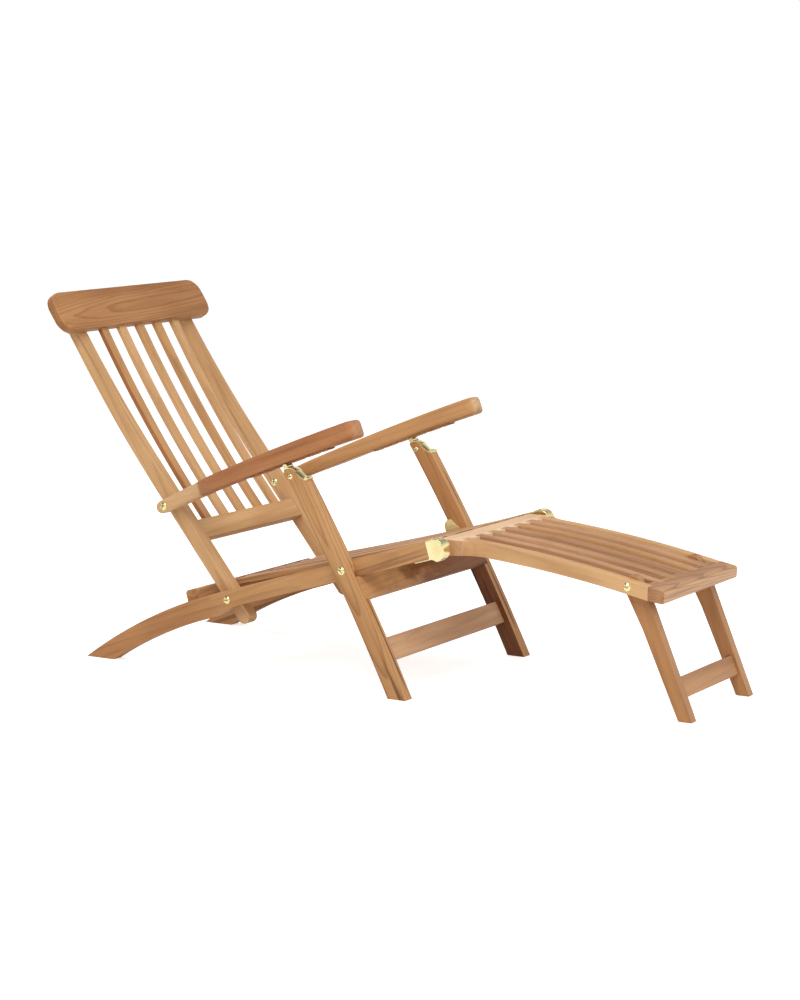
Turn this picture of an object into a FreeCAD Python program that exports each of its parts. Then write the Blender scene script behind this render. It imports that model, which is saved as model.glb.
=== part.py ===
"""Steamer deck chair: a folding teak lounger with a hinged footrest.

X points to the foot of the chair, Y to its left side and Z up. The origin is on the ground,
under the middle of the chair. Every piece is shown seated, with the chair set up for use.
"""

import FreeCAD
import Part
import Sketcher
import math
import os

Vector = FreeCAD.Vector
SIDES = {"right": -1, "left": 1}

SIZES = {
    # Side rails: seat rail in front, curved rear leg behind
    "rail_front_x": 184.6,
    "rail_front_z": 347.0,
    "rail_slope_deg": 16.76,
    "rail_bend_x": -350.0,
    "rail_depth": 38.4,
    "rail_shoulder_x": -305.0,
    "rail_heel_x": -398.0,
    "rail_heel_depth": 52.0,
    "rail_thick": 29.0,
    "rail_inner_half": 226.0,
    "rear_foot_back_x": -727.0,
    "rear_foot_front_x": -650.0,
    # Running clearances between pieces that move past each other
    "side_clear": 0.3,
    "bolt_clear": 0.05,
    "rest_clear": 0.3,
    # Bolts and round heads
    "bolt_radius": 4.0,
    "head_radius": 9.0,
    "head_height": 3.5,
    "slot_width": 1.8,
    "slot_deep": 1.6,
    "nut_grip": 1.5,
    "back_slot_deg": 0.0,
    "crossing_slot_deg": -45.0,
    "arm_slot_deg": 70.0,
    "catch_slot_deg": 25.0,
    "foot_slot_deg": -20.0,
    # Pivots, measured in the side view
    "crossing_x": -8.0,
    "crossing_z": 270.0,
    "back_pivot_x": -331.0,
    "back_pivot_z": 170.0,
    "arm_pivot_x": -499.0,
    "arm_pivot_z": 370.6,
    "footrest_pivot_x": 208.0,
    "footrest_pivot_z": 330.0,
    "foot_leg_pivot_x": 631.6,
    "foot_leg_pivot_z": 279.0,
    # Cross members of the seat frame
    "rear_bar_depth": 44.0,
    "rear_bar_thick": 34.0,
    "rear_bar_x": -433.0,
    "rear_bar_z": 161.0,
    "rear_bar_round": 8.0,
    "seat_rail_depth": 26.0,
    "seat_rail_thick": 24.0,
    "seat_rail_rear_x": -215.0,
    "seat_rail_front_x": 140.0,
    "tenon_deep": 12.0,
    # Seat slats
    "seat_slat_count": 7,
    "seat_slat_pitch": 58.0,
    "seat_slat_width": 28.0,
    "seat_slat_thick": 12.0,
    "seat_slat_rear_x": -366.0,
    "seat_slat_front_x": 186.0,
    "seat_slat_rear_rise": 22.0,
    "seat_slat_hollow": 4.0,
    # Front legs, bowed forward a little; the tilt is that at the crossing bolt
    "leg_thick": 29.7,
    "leg_depth": 40.0,
    "leg_tilt_deg": 29.3,
    "leg_curve_radius": 4900.0,
    "leg_front_reach": 20.3,
    "leg_top_z": 480.0,
    "leg_crown_rise": 4.5,
    "leg_hollow_drop": 14.0,
    "leg_front_drop": 18.5,
    "stop_rail_top": 24.4,
    "stop_rail_depth": 54.0,
    "stop_rail_thick": 19.0,
    "stop_rail_half": 270.0,
    "stretcher_top": 169.0,
    "stretcher_depth": 52.0,
    "stretcher_thick": 20.0,
    "stretcher_setback": 13.0,
    # Brass catch on each leg top
    "catch_width": 25.0,
    "catch_thick": 2.5,
    "catch_peg_forward": 3.5,
    "catch_peg_radius": 6.5,
    "catch_peg_root_half": 10.5,
    "catch_curl_radius": 4.0,
    "catch_tang_half": 10.0,
    "catch_tang_thick": 3.0,
    "catch_bolt_forward": 17.5,
    "catch_bolt_down": 12.0,
    "catch_bolt_radius": 3.0,
    "catch_head_radius": 6.5,
    # Brass crossing plates, hidden behind the legs but for an ear above the rail
    "plate_thick": 2.5,
    "plate_half": 16.0,
    "plate_rear": 20.0,
    "plate_ear_reach": 42.0,
    "plate_ear_high": 48.0,
    # Brass knuckles, rounded about the footrest's hinge pins
    "knuckle_radius": 25.5,
    "knuckle_crest_deg": 105.0,
    "knuckle_lip_deg": -78.0,
    "knuckle_hollow": 2.5,
    "knuckle_strap": 3.0,
    "knuckle_strap_long": 38.0,
    "hinge_pin_radius": 5.0,
    "hinge_pin_seat": 25.0,
    # Back
    "stile_thick": 30.7,
    "stile_low_tilt_deg": 38.6,
    "stile_top_tilt_deg": 32.5,
    "stile_low_half": 16.0,
    "stile_top_half": 12.5,
    "stile_pivot_offset": 4.7,
    "stile_below_pivot": 48.0,
    "stile_bend_low_z": 440.0,
    "stile_bend_top_z": 720.0,
    "stile_top_z": 815.0,
    "headrest_half": 291.5,
    "headrest_high": 100.0,
    "headrest_thick": 22.0,
    "headrest_round": 36.0,
    "headrest_below_top": 53.5,
    "back_rail_depth": 48.0,
    "back_rail_thick": 22.0,
    "back_rail_top_z": 326.0,
    "back_slat_count": 5,
    "back_slat_pitch": 70.0,
    "back_slat_width": 25.0,
    "back_slat_thick": 12.0,
    "back_slat_low_forward": 2.5,
    "back_slat_middle_forward": 10.5,
    "back_slat_top_forward": 19.5,
    # Arms
    "arm_slope_deg": 21.8,
    "arm_rear_half": 15.0,
    "arm_rear_reach": 8.0,
    "arm_reach": 567.0,
    "arm_neck_along": 76.0,
    "arm_neck_up": 21.2,
    "arm_shoulder_along": 170.0,
    "arm_shoulder_up": 25.0,
    "arm_crown_along": 350.0,
    "arm_crown_up": 27.4,
    "arm_front_up": 24.0,
    "arm_hollow_along": 270.0,
    "arm_hollow_down": 10.8,
    "arm_front_down": 17.5,
    "arm_end_round": 12.0,
    "arm_plan_round": 18.0,
    "arm_rear_thick": 33.7,
    "arm_front_width": 50.0,
    "arm_front_center": 263.0,
    "arm_widen_start_x": -440.0,
    "arm_widen_end_x": -330.0,
    "rack_rear_x": -255.0,
    "rack_front_x": -51.0,
    "rack_thick": 3.0,
    "rack_width": 29.0,
    "rack_notch_radius": 8.0,
    "rack_notch_deep": 2.0,
    "rack_notch_pitch": 42.0,
    # Footrest
    "hinge_board_half": 207.0,
    "hinge_board_front_x": 251.0,
    "hinge_board_round": 18.0,
    "hinge_board_edge": 4.0,
    "hinge_board_thick": 32.0,
    "hinge_pin_reach": 250.0,
    "foot_rail_outer_half": 185.0,
    "foot_rail_thick": 25.0,
    "foot_rail_depth": 30.0,
    "foot_rail_rear_depth": 33.0,
    "foot_rail_flare_long": 46.0,
    "foot_rail_flare_step": 3.0,
    "foot_rear_z": 347.0,
    "foot_middle_x": 476.0,
    "foot_middle_z": 322.0,
    "foot_front_x": 669.0,
    "foot_front_z": 286.0,
    "foot_slat_count": 5,
    "foot_slat_leg_gap": 5.7,
    "foot_slat_width": 28.0,
    "foot_slat_thick": 12.0,
    "nosing_long": 51.0,
    "nosing_round": 8.0,
    "nosing_lip_back": 3.0,
    "nosing_lip_drop": 6.0,
    "nosing_lip_round": 4.0,
    "foot_leg_thick": 24.0,
    "foot_leg_top_radius": 21.0,
    "foot_leg_rear_deg": 225.0,
    "foot_leg_front_deg": 20.0,
    "foot_leg_elbow_x": 658.0,
    "foot_leg_elbow_z": 187.0,
    "foot_leg_shoulder_x": 663.0,
    "foot_leg_shoulder_z": 263.0,
    "foot_leg_knee_x": 675.0,
    "foot_leg_knee_z": 240.0,
    "foot_leg_foot_width": 31.0,
    "foot_leg_foot_rear_x": 743.0,
    "foot_stretcher_top_z": 92.0,
    "foot_stretcher_depth": 44.0,
    "foot_stretcher_thick": 18.0,
    "foot_stretcher_setback": 6.0,
}

doc = FreeCAD.newDocument("SteamerDeckChair")
sheet = doc.addObject("Spreadsheet::Sheet", "Sizes")
for row, (alias, value) in enumerate(SIZES.items(), start=1):
    sheet.set(f"A{row}", alias)
    sheet.set(f"B{row}", str(value))
    sheet.setAlias(f"B{row}", alias)
doc.recompute()


def size(alias):
    """Return one driving size from the sheet, in millimetres or degrees."""
    return float(sheet.get(alias))


pieces = []


def keep(piece, name):
    """Label a finished piece and add it to the chair."""
    piece.Label = name
    pieces.append(piece)
    return piece


def feature(name, shape):
    """Add a piece whose shape is worked out here from the sheet's sizes."""
    piece = doc.addObject("Part::Feature", name)
    piece.Shape = shape
    piece.Placement = FreeCAD.Placement()
    return keep(piece, name)


class Outline:
    """A closed outline of straight runs and arcs, in the side view or in the plan."""

    def __init__(self, start, plan=False):
        self.plan = plan
        self.start = self.here = self.place(start)
        self.edges = []

    def place(self, point):
        """Put a pair of numbers into the outline's plane."""
        if self.plan:
            return Vector(point[0], point[1], 0)
        return Vector(point[0], 0, point[1])

    def line(self, end):
        """Run straight to a point."""
        target = self.place(end)
        if target.distanceToPoint(self.here) > 1e-6:
            self.edges.append(Part.LineSegment(self.here, target).toShape())
        self.here = target
        return self

    def arc(self, middle, end):
        """Run along an arc through a middle point to an end point."""
        target = self.place(end)
        self.edges.append(Part.Arc(self.here, self.place(middle), target).toShape())
        self.here = target
        return self

    def turn(self, chord, direction):
        """Run along an arc over a chord, leaving in a direction."""
        square = (direction - chord * (direction.dot(chord) / chord.dot(chord))).normalize()
        bulge = chord.Length / 2 * math.tan(chord.getAngle(direction) / 2)
        end = self.here + chord
        self.edges.append(Part.Arc(self.here, self.here + chord * 0.5 + square * bulge, end).toShape())
        self.here = end
        return self

    def bend(self, end, along):
        """Run to a point along one arc that leaves in a direction."""
        return self.turn(self.place(end) - self.here, self.place(along).normalize())

    def ease(self, end, along):
        """Run to a point in an S of two equal arcs that start and end along a direction."""
        half = (self.place(end) - self.here) * 0.5
        direction = self.place(along).normalize()
        slant = Vector(half).normalize()
        return self.turn(half, direction).turn(half, slant * (2 * slant.dot(direction)) - direction)

    def corner(self, tip, end, radius):
        """Run towards a corner, round it with a radius, and run on to a point."""
        tip_place = self.place(tip)
        back = (self.here - tip_place).normalize()
        onward = (self.place(end) - tip_place).normalize()
        half_angle = back.getAngle(onward) / 2
        setback = radius / math.tan(half_angle)
        inward = (back + onward).normalize()
        middle = tip_place + inward * (radius / math.sin(half_angle) - radius)
        first = tip_place + back * setback
        last = tip_place + onward * setback
        if first.distanceToPoint(self.here) > 1e-6:
            self.edges.append(Part.LineSegment(self.here, first).toShape())
        self.edges.append(Part.Arc(first, middle, last).toShape())
        self.here = last
        return self.line(end)

    def slab(self, low, high):
        """Close the outline and make a solid between two levels across it."""
        if self.start.distanceToPoint(self.here) > 1e-6:
            self.edges.append(Part.LineSegment(self.here, self.start).toShape())
        across = Vector(0, 0, 1) if self.plan else Vector(0, 1, 0)
        face = Part.Face(Part.Wire(self.edges))
        face.translate(across * low)
        return face.extrude(across * (high - low))


def between(low, high, side):
    """Return a span across the chair, given for the left side, on either side."""
    return (low, high) if side > 0 else (-high, -low)


def step(point, direction, distance):
    """Return the point at a distance from another one along a direction."""
    return (point[0] + direction[0] * distance, point[1] + direction[1] * distance)


def middle_of(first, second):
    """Return the point halfway between two points."""
    return ((first[0] + second[0]) / 2, (first[1] + second[1]) / 2)


def arc_height(first, middle, last, along):
    """Return the height, at a place along it, of the shallow arc through three points."""
    circle = Part.Arc(*[Vector(x, 0, z) for x, z in (first, middle, last)]).toShape().Curve
    rise = math.sqrt(circle.Radius ** 2 - (along - circle.Center.x) ** 2)
    return circle.Center.z + math.copysign(rise, middle[1] - circle.Center.z)


def rod(x, z, radius, low, high):
    """Make a round rod that runs across the chair."""
    return Part.makeCylinder(radius, high - low, Vector(x, low, z), Vector(0, 1, 0))


def bolt(x, z, head_y, nut_y, side, radius, head_radius, slot_deg):
    """Make a bolt across the chair with a slotted round head, and its nut of the same form."""
    height = size("head_height")
    grip = head_y - nut_y
    cap_radius = (head_radius ** 2 + height ** 2) / (2 * height)
    ball = Part.makeSphere(cap_radius, Vector(0, 0, height - cap_radius))
    slot = Part.makeBox(
        2 * head_radius, size("slot_width"), height,
        Vector(-head_radius, -size("slot_width") / 2, height - size("slot_deep")),
    )
    slot.rotate(Vector(0, 0, 0), Vector(0, 0, 1), -side * slot_deg)
    cap = ball.common(Part.makeCylinder(head_radius, height)).cut(slot)
    shank_long = grip + size("nut_grip")
    shank = Part.makeCylinder(radius, shank_long, Vector(0, 0, -shank_long))
    nut = cap.mirror(Vector(0, 0, 0), Vector(0, 0, 1))
    nut.translate(Vector(0, 0, -grip))
    turn = FreeCAD.Rotation(Vector(1, 0, 0), -90 * side)
    seat = FreeCAD.Placement(Vector(x, side * head_y, z), turn)
    solids = [cap.fuse(shank).removeSplitter(), nut.cut(shank)]
    return [solid.transformGeometry(seat.toMatrix()) for solid in solids]


def board(name, length, width, thick, center, along, across, kept=True):
    """Make a rectangular board as a padded sketch and lay it in the chair.

    Length, width and thickness are formulas on the sheet's sizes. The board's length lies in the
    along direction and its width in the across direction.
    """
    body = doc.addObject("PartDesign::Body", name)
    plane = next(item for item in body.Origin.OriginFeatures if item.Role == "XY_Plane")
    sketch = body.newObject("Sketcher::SketchObject", name + "_outline")
    sketch.AttachmentSupport = [(plane, "")]
    sketch.MapMode = "FlatFace"
    corners = [Vector(-1, -1, 0), Vector(1, -1, 0), Vector(1, 1, 0), Vector(-1, 1, 0)]
    for number, corner in enumerate(corners):
        sketch.addGeometry(Part.LineSegment(corner, corners[(number + 1) % 4]))
    for number in range(4):
        sketch.addConstraint(Sketcher.Constraint("Coincident", number, 2, (number + 1) % 4, 1))
        direction = "Horizontal" if number % 2 == 0 else "Vertical"
        sketch.addConstraint(Sketcher.Constraint(direction, number))
    sketch.addConstraint(Sketcher.Constraint("Symmetric", 0, 1, 1, 2, -1, 1))
    long_way = sketch.addConstraint(Sketcher.Constraint("DistanceX", 0, 1, 0, 2, 2.0))
    short_way = sketch.addConstraint(Sketcher.Constraint("DistanceY", 1, 1, 1, 2, 2.0))
    sketch.setExpression(f"Constraints[{long_way}]", length)
    sketch.setExpression(f"Constraints[{short_way}]", width)
    pad = body.newObject("PartDesign::Pad", name + "_pad")
    pad.Profile = sketch
    pad.SideType = "Symmetric"
    pad.setExpression("Length", thick)
    normal = along.cross(across)
    body.Placement = FreeCAD.Placement(center, FreeCAD.Rotation(along, across, normal, "XYZ"))
    doc.recompute()
    if kept:
        keep(body, name)
    return body


slope = math.radians(size("rail_slope_deg"))
rail_along = (math.cos(slope), math.sin(slope))
rail_up = (-math.sin(slope), math.cos(slope))
rail_inner = size("rail_inner_half")
rail_outer = rail_inner + size("rail_thick")
rail_front = (size("rail_front_x"), size("rail_front_z"))
crossing = (size("crossing_x"), size("crossing_z"))
back_pivot = (size("back_pivot_x"), size("back_pivot_z"))
arm_pivot = (size("arm_pivot_x"), size("arm_pivot_z"))
footrest_pivot = (size("footrest_pivot_x"), size("footrest_pivot_z"))
foot_leg_pivot = (size("foot_leg_pivot_x"), size("foot_leg_pivot_z"))
bolt_hole = size("bolt_radius") + size("bolt_clear")
Y_AXIS = Vector(0, 1, 0)


def rail_top(x):
    """Return the height of the straight part of the side rail's top edge."""
    return rail_front[1] - (rail_front[0] - x) * math.tan(slope)


def rail_bottom(x):
    """Return the height of the straight part of the side rail's lower edge."""
    return rail_top(x) - size("rail_depth") / math.cos(slope)


def arc_to_ground(start, foot_x):
    """Return the middle and end of an arc that leaves the rail's line and meets the ground."""
    run = start[0] - foot_x
    chord_angle = math.atan2(start[1], run)
    half_turn = chord_angle - slope
    chord = math.hypot(run, start[1])
    sagitta = chord / 2 * math.tan(half_turn / 2)
    outward = (-math.sin(chord_angle), math.cos(chord_angle))
    return step(middle_of(start, (foot_x, 0.0)), outward, sagitta), (foot_x, 0.0)


def side_rail_outline():
    """Return the outline of a side rail, which deepens behind and curves down to its foot."""
    top_bend = (size("rail_bend_x"), rail_top(size("rail_bend_x")))
    over_shoulder = (size("rail_shoulder_x"), rail_top(size("rail_shoulder_x")))
    over_heel = (size("rail_heel_x"), rail_top(size("rail_heel_x")))
    heel = step(over_heel, rail_up, -size("rail_heel_depth"))
    outline = Outline(rail_front).line(top_bend)
    outline.arc(*arc_to_ground(top_bend, size("rear_foot_back_x")))
    outline.line((size("rear_foot_front_x"), 0.0))
    outline.arc(arc_to_ground(heel, size("rear_foot_front_x"))[0], heel)
    outline.ease(step(over_shoulder, rail_up, -size("rail_depth")), rail_along)
    return outline.line(step(rail_front, rail_up, -size("rail_depth")))


# Seat slats, slightly hollowed boards from the back pivot to the rails' front ends
slat_rear = (size("seat_slat_rear_x"), rail_top(size("seat_slat_rear_x")) + size("seat_slat_rear_rise"))
slat_front = (size("seat_slat_front_x"), rail_top(size("seat_slat_front_x")))
slat_long = math.dist(slat_rear, slat_front)
slat_along = ((slat_front[0] - slat_rear[0]) / slat_long, (slat_front[1] - slat_rear[1]) / slat_long)
slat_up = (-slat_along[1], slat_along[0])
slat_low_long = slat_long - size("seat_slat_thick") * slat_along[1] / slat_along[0]
slat_under = [
    (0.0, -size("seat_slat_thick")),
    (slat_low_long / 2, -size("seat_slat_thick") - size("seat_slat_hollow")),
    (slat_low_long, -size("seat_slat_thick")),
]


def on_slat(along, up):
    """Return the point at a distance along the seat slats and above their straight line."""
    return step(step(slat_rear, slat_along, along), slat_up, up)


for number in range(int(size("seat_slat_count"))):
    middle_y = (number - (size("seat_slat_count") - 1) / 2) * size("seat_slat_pitch")
    outline = Outline(slat_rear).arc(on_slat(slat_long / 2, -size("seat_slat_hollow")), slat_front)
    low_rear, low_middle, low_front = (on_slat(*point) for point in slat_under)
    outline.line(low_front).arc(low_middle, low_rear)
    half = size("seat_slat_width") / 2
    feature(f"seat_slat_{number + 1}", outline.slab(middle_y - half, middle_y + half))

# Cross rails between the side rails: two under the seat slats and the rear bar
seat_rails = []
for name, x in (("rear_seat_rail", size("seat_rail_rear_x")), ("front_seat_rail", size("seat_rail_front_x"))):
    along = (x - slat_rear[0]) / slat_along[0]
    half = size("seat_rail_thick") / 2
    rise = arc_height(*slat_under, along + half) - arc_height(*slat_under, along - half)
    lean = math.atan2(rise, 2 * half)
    square_up = step((0.0, 0.0), slat_up, math.cos(lean))
    square_up = step(square_up, slat_along, -math.sin(lean))
    top = on_slat(along, arc_height(*slat_under, along))
    center = step(top, square_up, -size("seat_rail_depth") / 2)
    seat_rails.append(board(
        name, "2 * (Sizes.rail_inner_half + Sizes.tenon_deep)", "Sizes.seat_rail_depth",
        "Sizes.seat_rail_thick", Vector(center[0], 0, center[1]), Y_AXIS,
        Vector(square_up[0], 0, square_up[1]),
    ))
rear_bar = board(
    "rear_bar_blank", "2 * (Sizes.rail_inner_half + Sizes.tenon_deep)", "Sizes.rear_bar_depth",
    "Sizes.rear_bar_thick", Vector(size("rear_bar_x"), 0, size("rear_bar_z")), Y_AXIS,
    Vector(rail_up[0], 0, rail_up[1]), kept=False,
)
long_edges = [edge for edge in rear_bar.Shape.Edges if edge.Length > rail_inner]
rear_bar = feature("rear_cross_bar", rear_bar.Shape.makeFillet(size("rear_bar_round"), long_edges))

# Front legs' line: arcs about one far centre, through the crossing bolt
tilt = math.radians(size("leg_tilt_deg"))
front_reach = size("leg_front_reach")
rear_reach = front_reach - size("leg_depth")
bow_center = step(crossing, (math.cos(tilt), math.sin(tilt)), -size("leg_curve_radius"))


def leg_forward(down):
    """Return the forward direction, square to the leg, at a distance down from the crossing bolt."""
    angle = tilt - down / size("leg_curve_radius")
    return (math.cos(angle), math.sin(angle))


def on_leg(down, front):
    """Return the point at a distance down the front leg and forward from the crossing bolt."""
    return step(bow_center, leg_forward(down), size("leg_curve_radius") + front)


def leg_at(z, front):
    """Return the point of the leg's line at a forward distance that lies at a height."""
    radius = size("leg_curve_radius") + front
    return (bow_center[0] + math.sqrt(radius ** 2 - (z - bow_center[1]) ** 2), z)


def under_rail(front):
    """Return the point of the leg's line at a forward distance that meets the rails' underside."""
    start = (crossing[0], rail_bottom(crossing[0]))
    offset = (bow_center[0] - start[0], bow_center[1] - start[1])
    along = offset[0] * rail_along[0] + offset[1] * rail_along[1]
    below = offset[0] * rail_up[0] + offset[1] * rail_up[1]
    radius = size("leg_curve_radius") + front
    return step(start, rail_along, along + math.sqrt(radius ** 2 - below ** 2))


# Stop rail, fitted up under the side rails; the open front legs bear on it
stop_low = size("stop_rail_top") + size("stop_rail_depth")
stop_back = front_reach - size("stop_rail_thick")
stop_outline = Outline(under_rail(front_reach)).line(on_leg(stop_low, front_reach))
stop_outline.line(on_leg(stop_low, stop_back)).line(under_rail(stop_back))
feature("stop_rail", stop_outline.slab(-size("stop_rail_half"), size("stop_rail_half")))


def on_rail(along, up):
    """Return the point at a distance along the side rail and above the crossing bolt."""
    return step(step(crossing, rail_along, along), rail_up, up)


def plate_slab(low, high):
    """Return a crossing plate between two levels across the chair."""
    edge_up = (rail_top(crossing[0]) - crossing[1]) * math.cos(slope)
    half = size("plate_half")
    rear = -size("plate_rear")
    ear_rear = -size("plate_ear_reach")
    ear_high = size("plate_ear_high")
    outline = Outline(on_rail(rear, -half)).line(on_rail(rear, edge_up)).line(on_rail(ear_rear, edge_up))
    outline.corner(on_rail(ear_rear, ear_high), on_rail(rear, ear_high), half)
    outline.line(on_rail(0.0, edge_up)).line(on_rail(half, edge_up)).line(on_rail(half, -half))
    return outline.slab(low, high)


# Brass crossing plates, let into the side rails' outer faces
for name, side in SIDES.items():
    low, high = between(rail_outer - size("plate_thick"), rail_outer, side)
    plate = plate_slab(low, high).cut(rod(*crossing, bolt_hole, low, high))
    feature(f"{name}_crossing_plate", plate)

# Side rails with their holes, mortises and the recess of the plate
for name, side in SIDES.items():
    low, high = between(rail_inner, rail_outer, side)
    tools = [rod(*crossing, bolt_hole, low, high), rod(*back_pivot, bolt_hole, low, high)]
    tools += [piece.Shape for piece in seat_rails + [rear_bar]]
    tools.append(plate_slab(*between(rail_outer - size("plate_thick"), rail_outer, side)))
    rail = side_rail_outline().slab(low, high)
    for tool in tools:
        rail = rail.cut(tool)
    feature(f"{name}_side_rail", rail)

# Brass knuckles on the rails' front ends, which hold the footrest's hinge pins
rail_nose = step(rail_front, rail_up, -size("rail_depth"))
pin_hole = size("hinge_pin_radius") + size("bolt_clear")


def on_knuckle(degrees):
    """Return the point of the knuckle's round at an angle above the forward direction."""
    angle = math.radians(degrees)
    return step(footrest_pivot, (math.cos(angle), math.sin(angle)), size("knuckle_radius"))


for name, side in SIDES.items():
    crest = on_knuckle(size("knuckle_crest_deg"))
    lip = on_knuckle(size("knuckle_lip_deg"))
    strap_front = step(rail_nose, rail_up, -size("knuckle_strap"))
    strap_rear = step(rail_nose, rail_along, -size("knuckle_strap_long"))
    outline = Outline(rail_front).line(crest).arc(on_knuckle(0.0), lip)
    outline.arc(step(middle_of(lip, strap_front), rail_up, size("knuckle_hollow")), strap_front)
    outline.line(step(strap_rear, rail_up, -size("knuckle_strap"))).line(strap_rear).line(rail_nose)
    low, high = between(rail_inner, rail_outer, side)
    hole_low, hole_high = between(rail_inner, size("hinge_pin_reach") + size("rest_clear"), side)
    knuckle = outline.slab(low, high).cut(rod(*footrest_pivot, pin_hole, hole_low, hole_high))
    feature(f"{name}_knuckle", knuckle)

# Bolts of the seat frame
leg_inner = rail_outer + size("side_clear")
leg_outer = leg_inner + size("leg_thick")
stile_outer = rail_inner - size("side_clear")
stile_inner = stile_outer - size("stile_thick")
crossing_bolts = []
back_bolts = []
for side in SIDES.values():
    crossing_bolts += bolt(*crossing, leg_outer, rail_inner, side, size("bolt_radius"), size("head_radius"),
                           size("crossing_slot_deg"))
    back_bolts += bolt(*back_pivot, rail_outer, stile_inner, side, size("bolt_radius"), size("head_radius"),
                       size("back_slot_deg"))
feature("crossing_bolts", Part.makeCompound(crossing_bolts))
feature("back_pivot_bolts", Part.makeCompound(back_bolts))

# Back: the line of the stiles, straight, gently bent and straight again
low_tilt = math.radians(size("stile_low_tilt_deg"))
top_tilt = math.radians(size("stile_top_tilt_deg"))
low_up = (-math.sin(low_tilt), math.cos(low_tilt))
top_up = (-math.sin(top_tilt), math.cos(top_tilt))
low_front = (math.cos(low_tilt), math.sin(low_tilt))
top_front = (math.cos(top_tilt), math.sin(top_tilt))
low_half = size("stile_low_half")
top_half = size("stile_top_half")
stile_foot = step(step(back_pivot, low_front, -size("stile_pivot_offset")), low_up,
                  -size("stile_below_pivot"))
bend_low = step(stile_foot, low_up, (size("stile_bend_low_z") - stile_foot[1]) / low_up[1])
bend_rise = size("stile_bend_top_z") - size("stile_bend_low_z")
mean_tilt = (low_tilt + top_tilt) / 2
bend_top = (bend_low[0] - bend_rise * math.tan(mean_tilt), size("stile_bend_top_z"))
bend_sagitta = math.dist(bend_low, bend_top) / 2 * math.tan((low_tilt - top_tilt) / 4)
mean_front = (math.cos(mean_tilt), math.sin(mean_tilt))
bend_middle = step(middle_of(bend_low, bend_top), mean_front, -bend_sagitta)
stile_top = step(bend_top, top_up, (size("stile_top_z") - bend_top[1]) / top_up[1])
mean_half = (low_half + top_half) / 2
for name, side in SIDES.items():
    outline = Outline(step(stile_foot, low_front, low_half)).line(step(bend_low, low_front, low_half))
    outline.arc(step(bend_middle, mean_front, mean_half), step(bend_top, top_front, top_half))
    outline.line(step(stile_top, top_front, top_half)).line(step(stile_top, top_front, -top_half))
    outline.line(step(bend_top, top_front, -top_half))
    outline.arc(step(bend_middle, mean_front, -mean_half), step(bend_low, low_front, -low_half))
    outline.line(step(stile_foot, low_front, -low_half))
    outline.arc(step(stile_foot, low_up, -low_half), step(stile_foot, low_front, low_half))
    low, high = between(stile_inner, stile_outer, side)
    holes = rod(*back_pivot, bolt_hole, low, high).fuse(rod(*arm_pivot, bolt_hole, low, high))
    feature(f"{name}_back_stile", outline.slab(low, high).cut(holes))

# Headrest on the stiles' front faces, with the back rail below and the slats between them
board_back = step(bend_top, top_front, top_half)
low_edge_z = size("stile_top_z") - size("headrest_below_top") - size("headrest_thick") * top_front[1]
headrest_low = step(board_back, top_up, (low_edge_z - board_back[1]) / top_up[1])
headrest_middle = step(step(headrest_low, top_up, size("headrest_high") / 2), top_front,
                       size("headrest_thick") / 2)
rail_corner_run = (size("back_rail_top_z") - stile_foot[1]) / low_up[1]
rail_corner = step(step(stile_foot, low_up, rail_corner_run), low_front, low_half)
back_rail_middle = step(step(rail_corner, low_up, -size("back_rail_depth") / 2), low_front,
                        -size("back_rail_thick") / 2)
back_slat_half = size("back_slat_thick") / 2
slat_foot = step(step(rail_corner, low_up, -size("tenon_deep")), low_front,
                 size("back_slat_low_forward") - low_half)
slat_middle = step(bend_middle, mean_front, size("back_slat_middle_forward"))
slat_head = step(step(headrest_low, top_up, size("tenon_deep")), top_front,
                 size("back_slat_top_forward") - top_half)
back_slats = []
for number in range(int(size("back_slat_count"))):
    middle_y = (number - (size("back_slat_count") - 1) / 2) * size("back_slat_pitch")
    outline = Outline(step(slat_foot, low_front, back_slat_half))
    outline.arc(step(slat_middle, mean_front, back_slat_half), step(slat_head, top_front, back_slat_half))
    outline.line(step(slat_head, top_front, -back_slat_half))
    outline.arc(step(slat_middle, mean_front, -back_slat_half), step(slat_foot, low_front, -back_slat_half))
    half = size("back_slat_width") / 2
    back_slats.append(feature(f"back_slat_{number + 1}", outline.slab(middle_y - half, middle_y + half)))
blank = board(
    "headrest_blank", "2 * Sizes.headrest_half", "Sizes.headrest_high", "Sizes.headrest_thick",
    Vector(headrest_middle[0], 0, headrest_middle[1]), Y_AXIS, Vector(top_up[0], 0, top_up[1]), kept=False,
)
corners = [edge for edge in blank.Shape.Edges if abs(edge.Length - size("headrest_thick")) < 0.01]
rounded = blank.Shape.makeFillet(size("headrest_round"), corners)
feature("headrest", rounded.cut([slat.Shape for slat in back_slats]))
blank = board(
    "lower_back_rail_blank", "2 * (Sizes.rail_inner_half - Sizes.side_clear - Sizes.stile_thick)",
    "Sizes.back_rail_depth", "Sizes.back_rail_thick", Vector(back_rail_middle[0], 0, back_rail_middle[1]),
    Y_AXIS, Vector(low_up[0], 0, low_up[1]), kept=False,
)
feature("lower_back_rail", blank.Shape.cut([slat.Shape for slat in back_slats]))

# Arms: a side outline crossed with a plan outline, with a rack strip below
arm_tilt = math.radians(size("arm_slope_deg"))
arm_along = (math.cos(arm_tilt), math.sin(arm_tilt))
arm_up = (-math.sin(arm_tilt), math.cos(arm_tilt))
arm_half = size("arm_rear_half")
arm_inner = rail_inner
arm_outer = arm_inner + size("arm_rear_thick")
arm_front_outer = size("arm_front_center") + size("arm_front_width") / 2


def on_arm(along, up):
    """Return the point at a distance along the arm and above its pivot."""
    return step(step(arm_pivot, arm_along, along), arm_up, up)


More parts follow.
